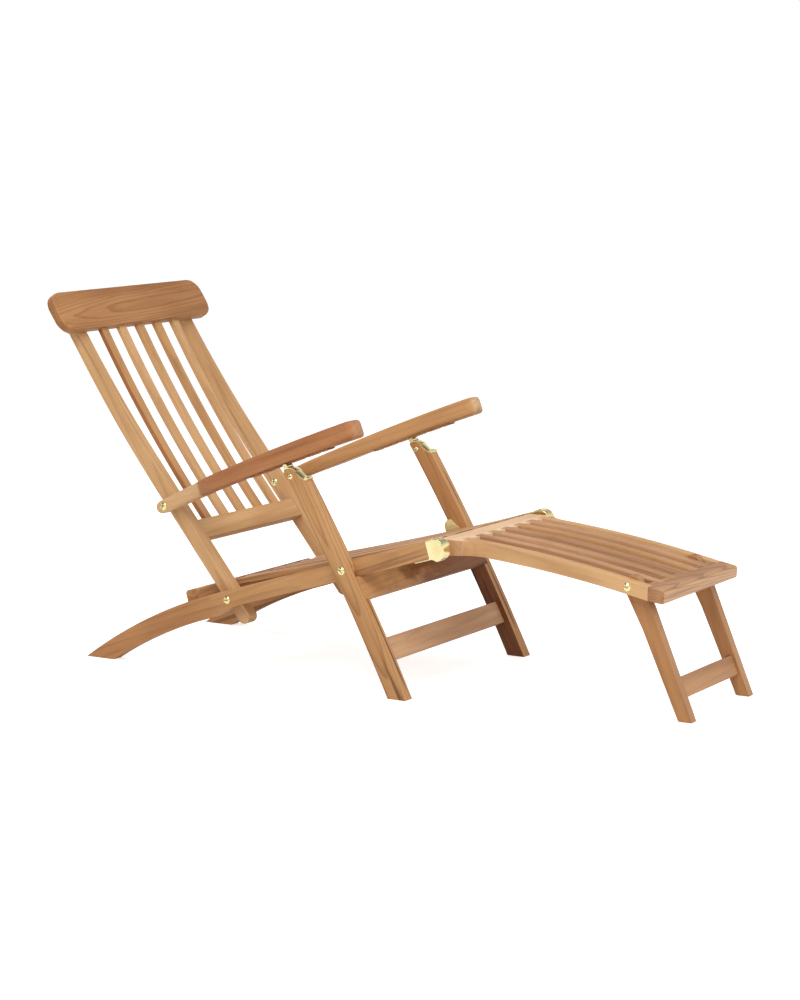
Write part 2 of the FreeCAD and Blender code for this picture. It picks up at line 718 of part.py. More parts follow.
# The arm's underside is one hollow arc, given along the arm and above its pivot
arm_low_rear = (-size("arm_rear_reach"), -arm_half)
arm_low_middle = (size("arm_hollow_along"), -size("arm_hollow_down"))
arm_low_front = (size("arm_reach") - size("arm_end_round"), -size("arm_front_down"))


def arm_side_outline():
    """Return the arm seen from the side: slim and rounded at the rear, arched and deeper in front."""
    end = size("arm_reach")
    shoulder = (size("arm_shoulder_along"), size("arm_shoulder_up"))
    front_top = (end - size("arm_end_round"), size("arm_front_up"))
    outline = Outline(on_arm(*arm_low_rear))
    outline.arc(on_arm(-size("arm_rear_reach") - arm_half, 0.0), on_arm(-size("arm_rear_reach"), arm_half))
    outline.arc(on_arm(size("arm_neck_along"), size("arm_neck_up")), on_arm(*shoulder))
    outline.arc(on_arm(size("arm_crown_along"), size("arm_crown_up")), on_arm(*front_top))
    outline.corner(on_arm(end, front_top[1]), on_arm(end, 0.0), size("arm_end_round"))
    outline.corner(on_arm(end, arm_low_front[1]), on_arm(*arm_low_front), size("arm_end_round"))
    return outline.arc(on_arm(*arm_low_middle), on_arm(*arm_low_rear))


def arm_plan_outline(side):
    """Return the arm seen square to its length: narrow beside the back, wider in front."""
    rear = -size("arm_rear_reach") - arm_half
    end = size("arm_reach")
    widen_start = (size("arm_widen_start_x") - arm_pivot[0]) / arm_along[0]
    widen_end = (size("arm_widen_end_x") - arm_pivot[0]) / arm_along[0]
    front_inner = size("arm_front_center") - size("arm_front_width") / 2
    outline = Outline((rear, side * arm_inner), plan=True).line((widen_start, side * arm_inner))
    outline.ease((widen_end, side * front_inner), (1, 0))
    outline.corner((end, side * front_inner), (end, side * size("arm_front_center")), size("arm_plan_round"))
    outline.corner((end, side * arm_front_outer), (widen_end, side * arm_front_outer), size("arm_plan_round"))
    return outline.ease((widen_start, side * arm_outer), (-1, 0)).line((rear, side * arm_outer))


def rack_low(along):
    """Return the height of the rack strip's lower face at a distance along the arm."""
    return arc_height(arm_low_rear, arm_low_middle, arm_low_front, along) - size("rack_thick")


rack_rear = (size("rack_rear_x") - arm_pivot[0]) / arm_along[0]
rack_front = (size("rack_front_x") - arm_pivot[0]) / arm_along[0]
rack_middle = (rack_rear + rack_front) / 2
leg_top_rear = leg_at(size("leg_top_z"), rear_reach)
peg_half = size("catch_peg_radius")
peg_x = leg_top_rear[0] + size("catch_peg_forward")
peg_run = (peg_x - arm_pivot[0]) / arm_along[0]
peg_along = peg_run + (rack_low(peg_run) - peg_half) * math.tan(arm_tilt)
for name, side in SIDES.items():
    body = arm_side_outline().slab(*between(arm_inner, arm_front_outer, side))
    plan = arm_plan_outline(side).slab(-size("arm_reach"), size("arm_reach"))
    plan.rotate(Vector(0, 0, 0), Y_AXIS, -size("arm_slope_deg"))
    plan.translate(Vector(arm_pivot[0], 0, arm_pivot[1]))
    arm = body.common(plan).cut(rod(*arm_pivot, bolt_hole, *between(arm_inner, arm_outer, side)))
    feature(f"{name}_arm", arm)
    strip = size("rack_thick")
    outline = Outline(on_arm(rack_rear, rack_low(rack_rear) + strip))
    outline.arc(on_arm(rack_middle, rack_low(rack_middle) + strip),
                on_arm(rack_front, rack_low(rack_front) + strip))
    outline.line(on_arm(rack_front, rack_low(rack_front)))
    outline.arc(on_arm(rack_middle, rack_low(rack_middle)), on_arm(rack_rear, rack_low(rack_rear)))
    low, high = between(size("arm_front_center") - size("rack_width") / 2,
                        size("arm_front_center") + size("rack_width") / 2, side)
    rack = outline.slab(low, high)
    for tooth in range(-2, 3):
        along = peg_along + tooth * size("rack_notch_pitch")
        notch_up = rack_low(along) + size("rack_notch_deep") - size("rack_notch_radius")
        rack = rack.cut(rod(*on_arm(along, notch_up), size("rack_notch_radius"), low, high))
    feature(f"{name}_arm_rack", rack)
    feature(f"{name}_arm_bolt", Part.makeCompound(
        bolt(*arm_pivot, arm_outer, stile_inner, side, size("bolt_radius"), size("head_radius"),
             size("arm_slot_deg"))))

# Front leg frame: legs, stretcher and the brass catches with their bolts
stretcher_down = size("stretcher_top") + size("stretcher_depth") / 2
stretcher_forward = leg_forward(stretcher_down)
stretcher_center = on_leg(stretcher_down,
                          front_reach - size("stretcher_setback") - size("stretcher_thick") / 2)
stretcher = board(
    "lower_stretcher",
    "2 * (Sizes.rail_inner_half + Sizes.rail_thick + Sizes.side_clear + Sizes.tenon_deep)",
    "Sizes.stretcher_depth", "Sizes.stretcher_thick", Vector(stretcher_center[0], 0, stretcher_center[1]),
    Y_AXIS, Vector(-stretcher_forward[1], 0, stretcher_forward[0]),
)
leg_top_front = leg_at(size("leg_top_z") - size("leg_front_drop"), front_reach)
quarter = (leg_top_front[0] - leg_top_rear[0]) / 4
top_middle = (leg_top_rear[0] + 2 * quarter, leg_top_rear[1])
crown = (leg_top_rear[0] + quarter, leg_top_rear[1] + size("leg_crown_rise"))
hollow = (leg_top_front[0] - quarter, leg_top_rear[1] - size("leg_hollow_drop"))
catch_bolt = (leg_top_rear[0] + size("catch_bolt_forward"), leg_top_rear[1] - size("catch_bolt_down"))
strap = size("catch_thick")


def raised(point):
    """Return a point of the leg's top moved out by the strap's thickness."""
    return (point[0], point[1] + strap)


leg_center = (leg_inner + leg_outer) / 2
stop_corner = (crossing[1] - rail_bottom(crossing[0])) * math.cos(slope) - size("rest_clear")
peg_root = (crown[0], leg_top_rear[1])
peg_root_half = size("catch_peg_root_half")
notch_top = rack_low(peg_along) + size("rack_notch_deep")
peg_end = on_arm(peg_along, notch_top - size("rest_clear") - peg_half)
catch_bolts = []
for name, side in SIDES.items():
    low, high = between(leg_inner, leg_outer, side)
    outline = Outline(leg_at(0.0, rear_reach)).arc(leg_at(crossing[1], rear_reach), leg_top_rear)
    outline.arc(crown, top_middle).arc(hollow, leg_top_front)
    outline.arc(leg_at(crossing[1], front_reach), leg_at(0.0, front_reach))
    blank = outline.slab(low, high)
    notch = Outline(on_leg(0.0, stop_back - size("rest_clear")))
    notch.line(on_leg(0.0, front_reach + size("leg_depth")))
    notch.line(on_leg(stop_low + size("rest_clear"), front_reach + size("leg_depth")))
    notch.line(on_leg(stop_low + size("rest_clear"), stop_back - size("rest_clear")))
    notch_low, notch_high = between(leg_inner, size("stop_rail_half") + size("rest_clear"), side)
    keep_round = rod(*crossing, stop_corner, notch_low, notch_high)
    leg = blank.cut(notch.slab(notch_low, notch_high).cut(keep_round))
    leg = leg.cut(rod(*crossing, bolt_hole, low, high)).cut(stretcher.Shape)
    catch_low, catch_high = between(leg_center - size("catch_width") / 2,
                                    leg_center + size("catch_width") / 2, side)
    outline = Outline(leg_top_rear).arc(crown, top_middle).arc(hollow, leg_top_front)
    outline.line(raised(leg_top_front)).arc(raised(hollow), raised(top_middle))
    outline.arc(raised(crown), raised(leg_top_rear))
    catch = outline.slab(catch_low, catch_high)
    peg = Outline((peg_root[0] - peg_root_half, peg_root[1])).line((peg_end[0] - peg_half, peg_end[1]))
    peg.arc((peg_end[0], peg_end[1] + peg_half), (peg_end[0] + peg_half, peg_end[1]))
    peg.line((peg_root[0] + peg_root_half, peg_root[1]))
    curl_radius = size("catch_curl_radius")
    curl = rod(leg_top_front[0] - curl_radius / 2, leg_top_front[1] + curl_radius, curl_radius,
               catch_low, catch_high)
    tang_half = size("catch_tang_half")
    tang_low, tang_high = between(leg_center - size("catch_tang_thick") / 2,
                                  leg_center + size("catch_tang_thick") / 2, side)
    tang = Outline((catch_bolt[0] - tang_half, catch_bolt[1] - tang_half))
    tang.line((catch_bolt[0] + tang_half, catch_bolt[1] - tang_half))
    tang.line((catch_bolt[0] + tang_half, peg_end[1])).line((catch_bolt[0] - tang_half, peg_end[1]))
    catch = catch.fuse([peg.slab(catch_low, catch_high).cut(blank), curl.cut(blank),
                        tang.slab(tang_low, tang_high).common(blank)])
    screw_hole = rod(*catch_bolt, size("catch_bolt_radius") + size("bolt_clear"), low, high)
    catch = catch.cut(screw_hole).removeSplitter()
    feature(f"{name}_leg_catch", catch)
    feature(f"{name}_front_leg", leg.cut(catch).cut(screw_hole))
    catch_bolts += bolt(*catch_bolt, leg_outer, leg_inner, side, size("catch_bolt_radius"),
                        size("catch_head_radius"), size("catch_slot_deg"))
feature("catch_bolts", Part.makeCompound(catch_bolts))

# Footrest: hinge board, rails, slats and nosing along one gentle curve
foot_rear = (size("hinge_board_front_x"), size("foot_rear_z"))
foot_middle = (size("foot_middle_x"), size("foot_middle_z"))
foot_front = (size("foot_front_x"), size("foot_front_z"))


def foot_curve(extra, drop):
    """Return rear, middle and front points of the footrest's curve, lengthened and lowered."""
    rear_slope = (foot_middle[1] - foot_rear[1]) / (foot_middle[0] - foot_rear[0])
    front_slope = (foot_front[1] - foot_middle[1]) / (foot_front[0] - foot_middle[0])
    rear = (foot_rear[0] - extra, foot_rear[1] - extra * rear_slope - drop)
    front = (foot_front[0] + extra, foot_front[1] + extra * front_slope - drop)
    return rear, (foot_middle[0], foot_middle[1] - drop), front


def foot_strip(rear_depth, front_depth):
    """Return the outline of a curved strip between hinge board and nosing, with tenons."""
    rear, middle, front = foot_curve(size("tenon_deep"), 0.0)
    low_rear = foot_curve(size("tenon_deep"), rear_depth)[0]
    low_middle = foot_curve(size("tenon_deep"), (rear_depth + front_depth) / 2)[1]
    low_front = foot_curve(size("tenon_deep"), front_depth)[2]
    return Outline(rear).arc(middle, front).line(low_front).arc(low_middle, low_rear)


rail_low = size("foot_rail_outer_half") - size("foot_rail_thick")
foot_leg_outer = rail_low - size("side_clear")
foot_leg_inner = foot_leg_outer - size("foot_leg_thick")
outer_slat_half = foot_leg_inner - size("foot_slat_leg_gap") - size("foot_slat_width") / 2
foot_slat_pitch = 2 * outer_slat_half / (size("foot_slat_count") - 1)
flare_half = size("hinge_board_half") - size("foot_rail_flare_step")
foot_rails = {}
for name, side in SIDES.items():
    low, high = between(rail_low, flare_half, side)
    strip = foot_strip(size("foot_rail_rear_depth"), size("foot_rail_depth")).slab(low, high)
    rear_x = foot_rear[0] - 2 * size("tenon_deep")
    front_x = foot_front[0] + 2 * size("tenon_deep")
    outer = side * size("foot_rail_outer_half")
    outline = Outline((rear_x, side * rail_low), plan=True).line((front_x, side * rail_low))
    outline.line((front_x, outer)).line((foot_rear[0] + size("foot_rail_flare_long"), outer))
    outline.bend((foot_rear[0], side * flare_half), (-1, 0)).line((foot_rear[0], outer)).line((rear_x, outer))
    strip = strip.common(outline.slab(0.0, 2 * foot_rear[1]))
    strip = strip.cut(rod(*foot_leg_pivot, bolt_hole, low, high))
    foot_rails[name] = feature(f"{name}_footrest_rail", strip)
foot_slats = []
for number in range(int(size("foot_slat_count"))):
    center_y = number * foot_slat_pitch - outer_slat_half
    half = size("foot_slat_width") / 2
    strip = foot_strip(size("foot_slat_thick"), size("foot_slat_thick")).slab(center_y - half, center_y + half)
    foot_slats.append(feature(f"footrest_slat_{number + 1}", strip))
strips = [piece.Shape for piece in list(foot_rails.values()) + foot_slats]
board_round = size("hinge_board_round")
board_edge = size("hinge_board_edge")
board_top = foot_rear[1]
board_rear_x = footrest_pivot[0] - board_round
outline = Outline(foot_rear)
outline.corner((board_rear_x, board_top), (board_rear_x, footrest_pivot[1]), board_edge)
outline.bend((footrest_pivot[0], footrest_pivot[1] - board_round), (0, -1))
outline.line((foot_rear[0], board_top - size("hinge_board_thick")))
hinge_board = outline.slab(-size("hinge_board_half"), size("hinge_board_half"))
hinge_pins = []
for side in SIDES.values():
    low, high = between(size("hinge_board_half") - size("hinge_pin_seat"), size("hinge_pin_reach"), side)
    hinge_pins.append(rod(*footrest_pivot, size("hinge_pin_radius"), low, high))
feature("hinge_pins", Part.makeCompound(hinge_pins))
feature("hinge_board", hinge_board.cut(strips + hinge_pins))
front_slope = (foot_front[1] - foot_middle[1]) / (foot_front[0] - foot_middle[0])
nose_top = (foot_front[0] + size("nosing_long"), foot_front[1] + size("nosing_long") * front_slope)
nosing_low = (foot_front[0], foot_front[1] - size("foot_rail_depth"))
lip = (nose_top[0] - size("nosing_lip_back"), nosing_low[1] - size("nosing_lip_drop"))
outline = Outline(foot_front).corner(nose_top, middle_of(nose_top, lip), size("nosing_round"))
outline.corner(lip, nosing_low, size("nosing_lip_round"))
nosing = outline.slab(-size("foot_rail_outer_half"), size("foot_rail_outer_half"))
feature("nosing", nosing.cut(strips))

# Footrest legs, which fold up between the footrest's rails, and their stretcher
knee = (size("foot_leg_knee_x"), size("foot_leg_knee_z"))
foot_front_x = size("foot_leg_foot_rear_x") + size("foot_leg_foot_width")
front_long = math.dist(knee, (foot_front_x, 0.0))
foot_leg_up = ((knee[0] - foot_front_x) / front_long, knee[1] / front_long)
foot_leg_back = (-foot_leg_up[1], foot_leg_up[0])
stretcher_run = size("foot_stretcher_top_z") - size("foot_stretcher_depth") / 2
on_front = step((foot_front_x, 0.0), foot_leg_up, stretcher_run / foot_leg_up[1])
center = step(on_front, foot_leg_back, size("foot_stretcher_setback") + size("foot_stretcher_thick") / 2)
foot_stretcher = board(
    "footrest_stretcher",
    "2 * (Sizes.foot_rail_outer_half - Sizes.foot_rail_thick - Sizes.side_clear - Sizes.foot_leg_thick"
    " + Sizes.tenon_deep)",
    "Sizes.foot_stretcher_depth", "Sizes.foot_stretcher_thick", Vector(center[0], 0, center[1]),
    Y_AXIS, Vector(foot_leg_up[0], 0, foot_leg_up[1]),
)


def on_leg_top(degrees):
    """Return the point of the footrest leg's round top at an angle above the forward direction."""
    angle = math.radians(degrees)
    return step(foot_leg_pivot, (math.cos(angle), math.sin(angle)), size("foot_leg_top_radius"))


rear_deg = size("foot_leg_rear_deg")
front_deg = size("foot_leg_front_deg")
leg_bolts = []
for name, side in SIDES.items():
    outline = Outline((size("foot_leg_foot_rear_x"), 0.0))
    outline.line((size("foot_leg_elbow_x"), size("foot_leg_elbow_z"))).line(on_leg_top(rear_deg))
    outline.arc(on_leg_top((rear_deg + front_deg) / 2), on_leg_top(front_deg))
    outline.arc((size("foot_leg_shoulder_x"), size("foot_leg_shoulder_z")), knee)
    outline.line((foot_front_x, 0.0))
    low, high = between(foot_leg_inner, foot_leg_outer, side)
    leg = outline.slab(low, high).cut(rod(*foot_leg_pivot, bolt_hole, low, high))
    feature(f"{name}_footrest_leg", leg.cut(foot_stretcher.Shape))
    leg_bolts += bolt(*foot_leg_pivot, size("foot_rail_outer_half"), foot_leg_inner, side,
                      size("bolt_radius"), size("head_radius"), size("foot_slot_deg"))
feature("footrest_leg_bolts", Part.makeCompound(leg_bolts))

doc.recompute()
for item in doc.Objects:
    if "Invalid" in item.State or "Error" in item.State:
        raise RuntimeError(f"{item.Label} failed: {item.State}")
lows = [piece.Shape.BoundBox.XMin for piece in pieces]
highs = [piece.Shape.BoundBox.XMax for piece in pieces]
middle_x = (min(lows) + max(highs)) / 2
os.makedirs("parts", exist_ok=True)
for piece in pieces:
    if piece.Shape.isNull() or not piece.Shape.isValid():
        raise RuntimeError(f"{piece.Label} has no valid shape")
    piece.Placement.Base = piece.Placement.Base - Vector(middle_x, 0, 0)
for piece in pieces:
    piece.Shape.exportStep(os.path.join("parts", piece.Label + ".step"))
print(f"{len(pieces)} pieces, middle of the chair at X {middle_x:.2f} before centring")
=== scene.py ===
"""Steamer deck chair in oiled teak with polished brass fittings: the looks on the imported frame."""

import logging
import math
from dataclasses import dataclass
from enum import Enum

import bmesh
import bpy
from mathutils import Matrix, Vector


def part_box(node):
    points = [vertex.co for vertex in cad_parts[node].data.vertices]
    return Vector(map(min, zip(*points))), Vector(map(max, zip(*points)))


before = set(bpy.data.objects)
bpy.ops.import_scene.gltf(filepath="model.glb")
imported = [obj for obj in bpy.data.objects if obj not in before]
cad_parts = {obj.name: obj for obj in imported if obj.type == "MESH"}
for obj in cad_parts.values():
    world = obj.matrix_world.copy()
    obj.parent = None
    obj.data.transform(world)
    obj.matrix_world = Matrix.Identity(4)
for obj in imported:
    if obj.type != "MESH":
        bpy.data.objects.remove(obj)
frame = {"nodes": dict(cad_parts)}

log = logging.getLogger("deck_chair")
Colour = tuple[float, float, float]
Point = tuple[float, float, float]
Span = tuple[float, float]

ACROSS: Point = (0.0, 1.0, 0.0)
UPWARD: Point = (0.0, 0.0, 1.0)
WHITE = (1.0, 1.0, 1.0, 1.0)
SIDES = ("right", "left")
SCREW_EDGE = 0.0003


def from_screen(red: int, green: int, blue: int) -> Colour:
    """Return the linear colour of a screen colour with channels from 0 to 255.

    Args:
        red: Red channel.
        green: Green channel.
        blue: Blue channel.

    Returns:
        The three linear channels, from 0 to 1.
    """
    shares = [channel / 255 for channel in (red, green, blue)]
    return tuple(s / 12.92 if s <= 0.04045 else ((s + 0.055) / 1.055) ** 2.4 for s in shares)


def tilted(angle: float) -> Point:
    """Return the direction in the side view that rises at an angle, in degrees, from the foot's direction."""
    return (math.cos(math.radians(angle)), 0.0, math.sin(math.radians(angle)))


class Tone(Enum):
    """The teak boards' colours, each as its pale early wood and its dark late wood."""

    BLOND = (from_screen(226, 186, 138), from_screen(196, 150, 102))
    GOLDEN = (from_screen(220, 174, 123), from_screen(187, 139, 90))
    HONEY = (from_screen(206, 155, 102), from_screen(169, 119, 72))
    BROWN = (from_screen(192, 137, 86), from_screen(154, 102, 59))
    RUSSET = (from_screen(183, 123, 76), from_screen(152, 94, 54))
    ROSY = (from_screen(218, 174, 133), from_screen(184, 138, 99))
    TAWNY = (from_screen(196, 147, 104), from_screen(160, 112, 74))
    UMBER = (from_screen(152, 99, 54), from_screen(100, 58, 31))
    SHELL = (from_screen(243, 204, 162), from_screen(217, 173, 133))
    # Partly painted shade: the dark of the far front leg's shaded inner face, besides its heartwood.
    SHADED_DUSKY = (from_screen(128, 76, 38), from_screen(92, 48, 20))


@dataclass(frozen=True)
class Cut:
    """How a board was sawn from the log, which sets the run of its figure.

    Attributes:
        along: Direction of the grain.
        face: Direction of the board's broad face.
        heart: Place of the log's heart beside and behind the board's middle, in metres.
        climb: How far the heart drifts towards the face for each metre of length.
        bow: How strongly the grain bows from the face, per metre, which closes the rings into ovals.
        crest: Place along the board where that bow is nearest to the face, in metres.
    """

    along: Point
    face: Point
    heart: tuple[float, float] = (0.01, -0.06)
    climb: float = 0.03
    bow: float = 0.0
    crest: float = 0.0

    def turn(self) -> Matrix:
        """Return the rotation that lays the board's own axes along its grain and face."""
        x = Vector(self.along).normalized()
        y = Vector(self.face).cross(x).normalized()
        return Matrix((x, y, x.cross(y))).transposed()


@dataclass(frozen=True)
class Layer:
    """One layer of a finish: a noise, and the part of it that shows.

    Attributes:
        waves: How many waves go in a metre along each axis.
        detail: How many finer noises it has.
        rough: How strong the finer noises are.
        span: Values of the noise where the layer starts and where it is full, or None for the noise itself.
    """

    waves: Point
    detail: float = 2.0
    rough: float = 0.5
    span: Span | None = None


class NodeTree:
    """A thin helper that adds shader nodes and joins their sockets."""

    def __init__(self, tree: bpy.types.NodeTree) -> None:
        """Keep the tree that the nodes go into.

        Args:
            tree: A material's, a world's or a group's node tree.
        """
        self.tree = tree

    def add(self, kind: str, **settings: object) -> bpy.types.Node:
        """Add one node.

        Args:
            kind: The node's type name, without its ShaderNode prefix.
            settings: Properties of the node to set.

        Returns:
            The new node.
        """
        node = self.tree.nodes.new("ShaderNode" + kind)
        for name, value in settings.items():
            setattr(node, name, value)
        return node

    def feed(self, socket: bpy.types.NodeSocket, value: object) -> None:
        """Join a socket to another one, or set its own value.

        Args:
            socket: The input to feed.
            value: Another node's output, a number, a vector, or a colour without its alpha.
        """
        if isinstance(value, bpy.types.NodeSocket):
            self.tree.links.new(value, socket)
        elif isinstance(value, tuple) and socket.type == "RGBA":
            socket.default_value = (*value, 1.0)
        else:
            socket.default_value = value

    def math(self, operation: str, *values: object) -> bpy.types.NodeSocket:
        """Add a math node.

        Args:
            operation: What it does.
            values: Up to three numbers or outputs that it does this to.

        Returns:
            Its result.
        """
        node = self.add("Math", operation=operation)
        for socket, value in zip(node.inputs, values):
            self.feed(socket, value)
        return node.outputs[0]

    def vector(self, operation: str, *values: object) -> bpy.types.Node:
        """Add a vector math node.

        Args:
            operation: What it does.
            values: Up to two vectors or outputs that it does this to.

        Returns:
            The new node.
        """
        node = self.add("VectorMath", operation=operation)
        for socket, value in zip(node.inputs, values):
            self.feed(socket, value)
        return node

    def split(self, vector: bpy.types.NodeSocket) -> list[bpy.types.NodeSocket]:
        """Return a vector's three parts."""
        apart = self.add("SeparateXYZ")
        self.feed(apart.inputs[0], vector)
        return list(apart.outputs)

    def layer(self, place: bpy.types.NodeSocket, layer: Layer) -> bpy.types.NodeSocket:
        """Add one layer of a finish.

        Args:
            place: Where its noise is read.
            layer: The layer.

        Returns:
            How strong the layer is there, from 0 to 1.
        """
        noise = self.add("TexNoise")
        self.feed(noise.inputs["Vector"], self.vector("MULTIPLY", place, layer.waves).outputs[0])
        noise.inputs["Scale"].default_value = 1.0
        noise.inputs["Detail"].default_value = layer.detail
        noise.inputs["Roughness"].default_value = layer.rough
        value = noise.outputs["Fac"]
        return self.ramp(value, layer.span) if layer.span else value

    def ramp(self, value: bpy.types.NodeSocket, span: Span,
             result: Span = (0.0, 1.0)) -> bpy.types.NodeSocket:
        """Carry a value smoothly from one span to another and hold it at the ends.

        Args:
            value: The value.
            span: Where it starts and ends.
            result: What it becomes there.

        Returns:
            The carried value.
        """
        node = self.add("MapRange", interpolation_type="SMOOTHSTEP")
        for socket, number in zip(node.inputs, (value, *span, *result)):
            self.feed(socket, number)
        return node.outputs[0]

    def mix(self, share: object, first: object, second: object) -> bpy.types.NodeSocket:
        """Blend two colours.

        Args:
            share: Share of the second one, from 0 to 1.
            first: The first colour.
            second: The second colour.

        Returns:
            The blend.
        """
        node = self.add("Mix", data_type="RGBA")
        share_in, first_in, second_in = node.inputs[0], node.inputs[6], node.inputs[7]
        for socket, value in ((share_in, share), (first_in, first), (second_in, second)):
            self.feed(socket, value)
        return node.outputs[2]

    def relief(self, surface: bpy.types.Node, height: bpy.types.NodeSocket, depth: float,
               strength: float) -> None:
        """Give a surface a fine relief.

        Args:
            surface: The surface's shader.
            height: How high the relief stands, from 0 to 1.
            depth: Its depth, in metres.
            strength: How much of it shows in the light, from 0 to 1.
        """
        bump = self.add("Bump")
        bump.inputs["Strength"].default_value = strength
        bump.inputs["Distance"].default_value = depth
        self.feed(bump.inputs["Height"], height)
        self.feed(surface.inputs["Normal"], bump.outputs[0])


class TeakFigure:
    """The node group that draws teak as a solid: soft bands, rings, streaks, fibres and pores."""

    NAME = "teak_figure"
    INPUTS = (
        ("Place", "NodeSocketVector"), ("End", "NodeSocketFloat"), ("Pale", "NodeSocketColor"),
        ("Dark", "NodeSocketColor"), ("Ring", "NodeSocketFloat"), ("Beside", "NodeSocketFloat"),
        ("Behind", "NodeSocketFloat"), ("Climb", "NodeSocketFloat"), ("Bow", "NodeSocketFloat"),
        ("Crest", "NodeSocketFloat"), ("Seed", "NodeSocketFloat"), ("Figure", "NodeSocketFloat"),
        ("Wander", "NodeSocketFloat"), ("Streaks", "NodeSocketFloat"), ("Ended", "NodeSocketVector"),
    )
    OUTPUTS = (
        ("Colour", "NodeSocketColor"), ("Roughness", "NodeSocketFloat"), ("Height", "NodeSocketFloat"),
    )

    BANDS = Layer((2.2, 30.0, 30.0), span=(0.25, 0.75))
    PATCHES = Layer((4.5, 9.0, 9.0), detail=1.0, span=(0.3, 0.75))
    FIBRES = Layer((12.0, 420.0, 420.0), detail=3.0, rough=0.6)
    PORES = Layer((45.0, 1300.0, 1300.0), detail=1.0, span=(0.64, 0.76))
    STREAK_LINES = Layer((2.3, 95.0, 95.0), detail=1.0, rough=0.4, span=(0.56, 0.68))
    STREAKED_PARTS = Layer((3.0, 14.0, 14.0), detail=1.0, span=(0.42, 0.6))
    RING_SWING = Layer((2.4, 10.0, 10.0))
    RING_RIPPLE = Layer((11.0, 70.0, 70.0))

    # How far each new seed moves the figure, in metres
    SEED_SHIFT = (3.1, 0.47, 0.83)

    # Late wood sets in slowly across a ring and ends sharply
    RIPPLE_HEIGHT = 0.003
    SWING_OF_RADIUS = 0.3
    LATE_RISE = (0.35, 0.94)
    LATE_FALL = (1.0, 0.94)
    LATE_POWER = 3.0

    # What each layer adds to the darkness of the wood, and what late wood, streaks and pores turn it into
    BAND_DARKNESS = 0.5
    PATCH_DARKNESS = 0.3
    FIBRE_DARKNESS = 0.45
    DARKNESS_SPAN = (-0.05, 1.0)
    PORE_DARKNESS = 0.22
    DEEPENING = (0.42, 0.33, 0.27)

    # What the layers add to the wood's roughness and to the height of its relief
    SANDED_ROUGHNESS = 0.40
    FIBRE_ROUGHNESS = 0.14
    BAND_ROUGHNESS = 0.06
    END_ROUGHNESS = 0.2
    FIBRE_HEIGHT = 0.55
    LATE_HEIGHT = 0.3
    PORE_HEIGHT = -0.9

    @classmethod
    def group(cls) -> bpy.types.NodeTree:
        """Return the group, made once and shared by every board's material."""
        return bpy.data.node_groups.get(cls.NAME) or cls.make()

    @classmethod
    def make(cls) -> bpy.types.NodeTree:
        """Build the group.

        Returns:
            The node group.
        """
        tree = bpy.data.node_groups.new(cls.NAME, "ShaderNodeTree")
        for name, kind in cls.INPUTS:
            tree.interface.new_socket(name, in_out="INPUT", socket_type=kind)
        for name, kind in cls.OUTPUTS:
            tree.interface.new_socket(name, in_out="OUTPUT", socket_type=kind)
        kit = NodeTree(tree)
        given = tree.nodes.new("NodeGroupInput").outputs
        result = tree.nodes.new("NodeGroupOutput").inputs
        shift = kit.add("CombineXYZ")
        for axis, step in zip(shift.inputs, cls.SEED_SHIFT):
            kit.feed(axis, kit.math("MULTIPLY", given["Seed"], step))
        place = kit.vector("ADD", given["Place"], shift.outputs[0]).outputs[0]
        late = cls.late_wood(kit, given, place)
        bands = kit.layer(place, cls.BANDS)
        fibres = kit.layer(place, cls.FIBRES)
        pores = kit.layer(place, cls.PORES)
        kit.feed(result["Colour"], cls.colour(kit, given, place, (late, bands, fibres, pores)))
        rough = kit.math("MULTIPLY_ADD", fibres, cls.FIBRE_ROUGHNESS, cls.SANDED_ROUGHNESS)
        rough = kit.math("MULTIPLY_ADD", given["End"], cls.END_ROUGHNESS, rough)
        kit.feed(result["Roughness"], kit.math("MULTIPLY_ADD", bands, cls.BAND_ROUGHNESS, rough))
        height = kit.math("MULTIPLY", fibres, cls.FIBRE_HEIGHT)
        height = kit.math("MULTIPLY_ADD", pores, cls.PORE_HEIGHT, height)
        kit.feed(result["Height"], kit.math("MULTIPLY_ADD", late, cls.LATE_HEIGHT, height))
        return tree

    @classmethod
    def late_wood(cls, kit: NodeTree, given: bpy.types.bpy_prop_collection,
                  place: bpy.types.NodeSocket) -> bpy.types.NodeSocket:
        """Draw the growth rings round the log's heart.

        Args:
            kit: Where the nodes go.
            given: The group's inputs.
            place: Where the noises are read.

        Returns:
            The share of late wood, from 0 to 1, which ends sharply at the outer side of each ring.
        """
        wander = kit.layer(place, cls.RING_SWING)
        waver = kit.layer(place, cls.RING_RIPPLE)
        x, y, z = kit.split(given["Place"])
        swing = kit.math("MULTIPLY", kit.math("SUBTRACT", wander, 0.5), given["Wander"])
        ripple = kit.math("MULTIPLY", kit.math("SUBTRACT", waver, 0.5), cls.RIPPLE_HEIGHT)
        side = kit.math("ADD", kit.math("SUBTRACT", y, given["Beside"]), swing)
        depth = kit.math("ADD", kit.math("SUBTRACT", z, given["Behind"]), ripple)
        depth = kit.math("MULTIPLY_ADD", x, given["Climb"], depth)
        off = kit.math("SUBTRACT", x, given["Crest"])
        depth = kit.math("MULTIPLY_ADD", kit.math("MULTIPLY", off, off), given["Bow"], depth)
        square = kit.math("MULTIPLY_ADD", side, side, kit.math("MULTIPLY", depth, depth))
        radius = kit.math("POWER", square, 0.5)
        radius = kit.math("MULTIPLY_ADD", swing, cls.SWING_OF_RADIUS, radius)
        turn = kit.math("FRACT", kit.math("DIVIDE", radius, given["Ring"]))
        rise = kit.math("POWER", kit.ramp(turn, cls.LATE_RISE), cls.LATE_POWER)
        return kit.math("MULTIPLY", rise, kit.ramp(turn, cls.LATE_FALL))

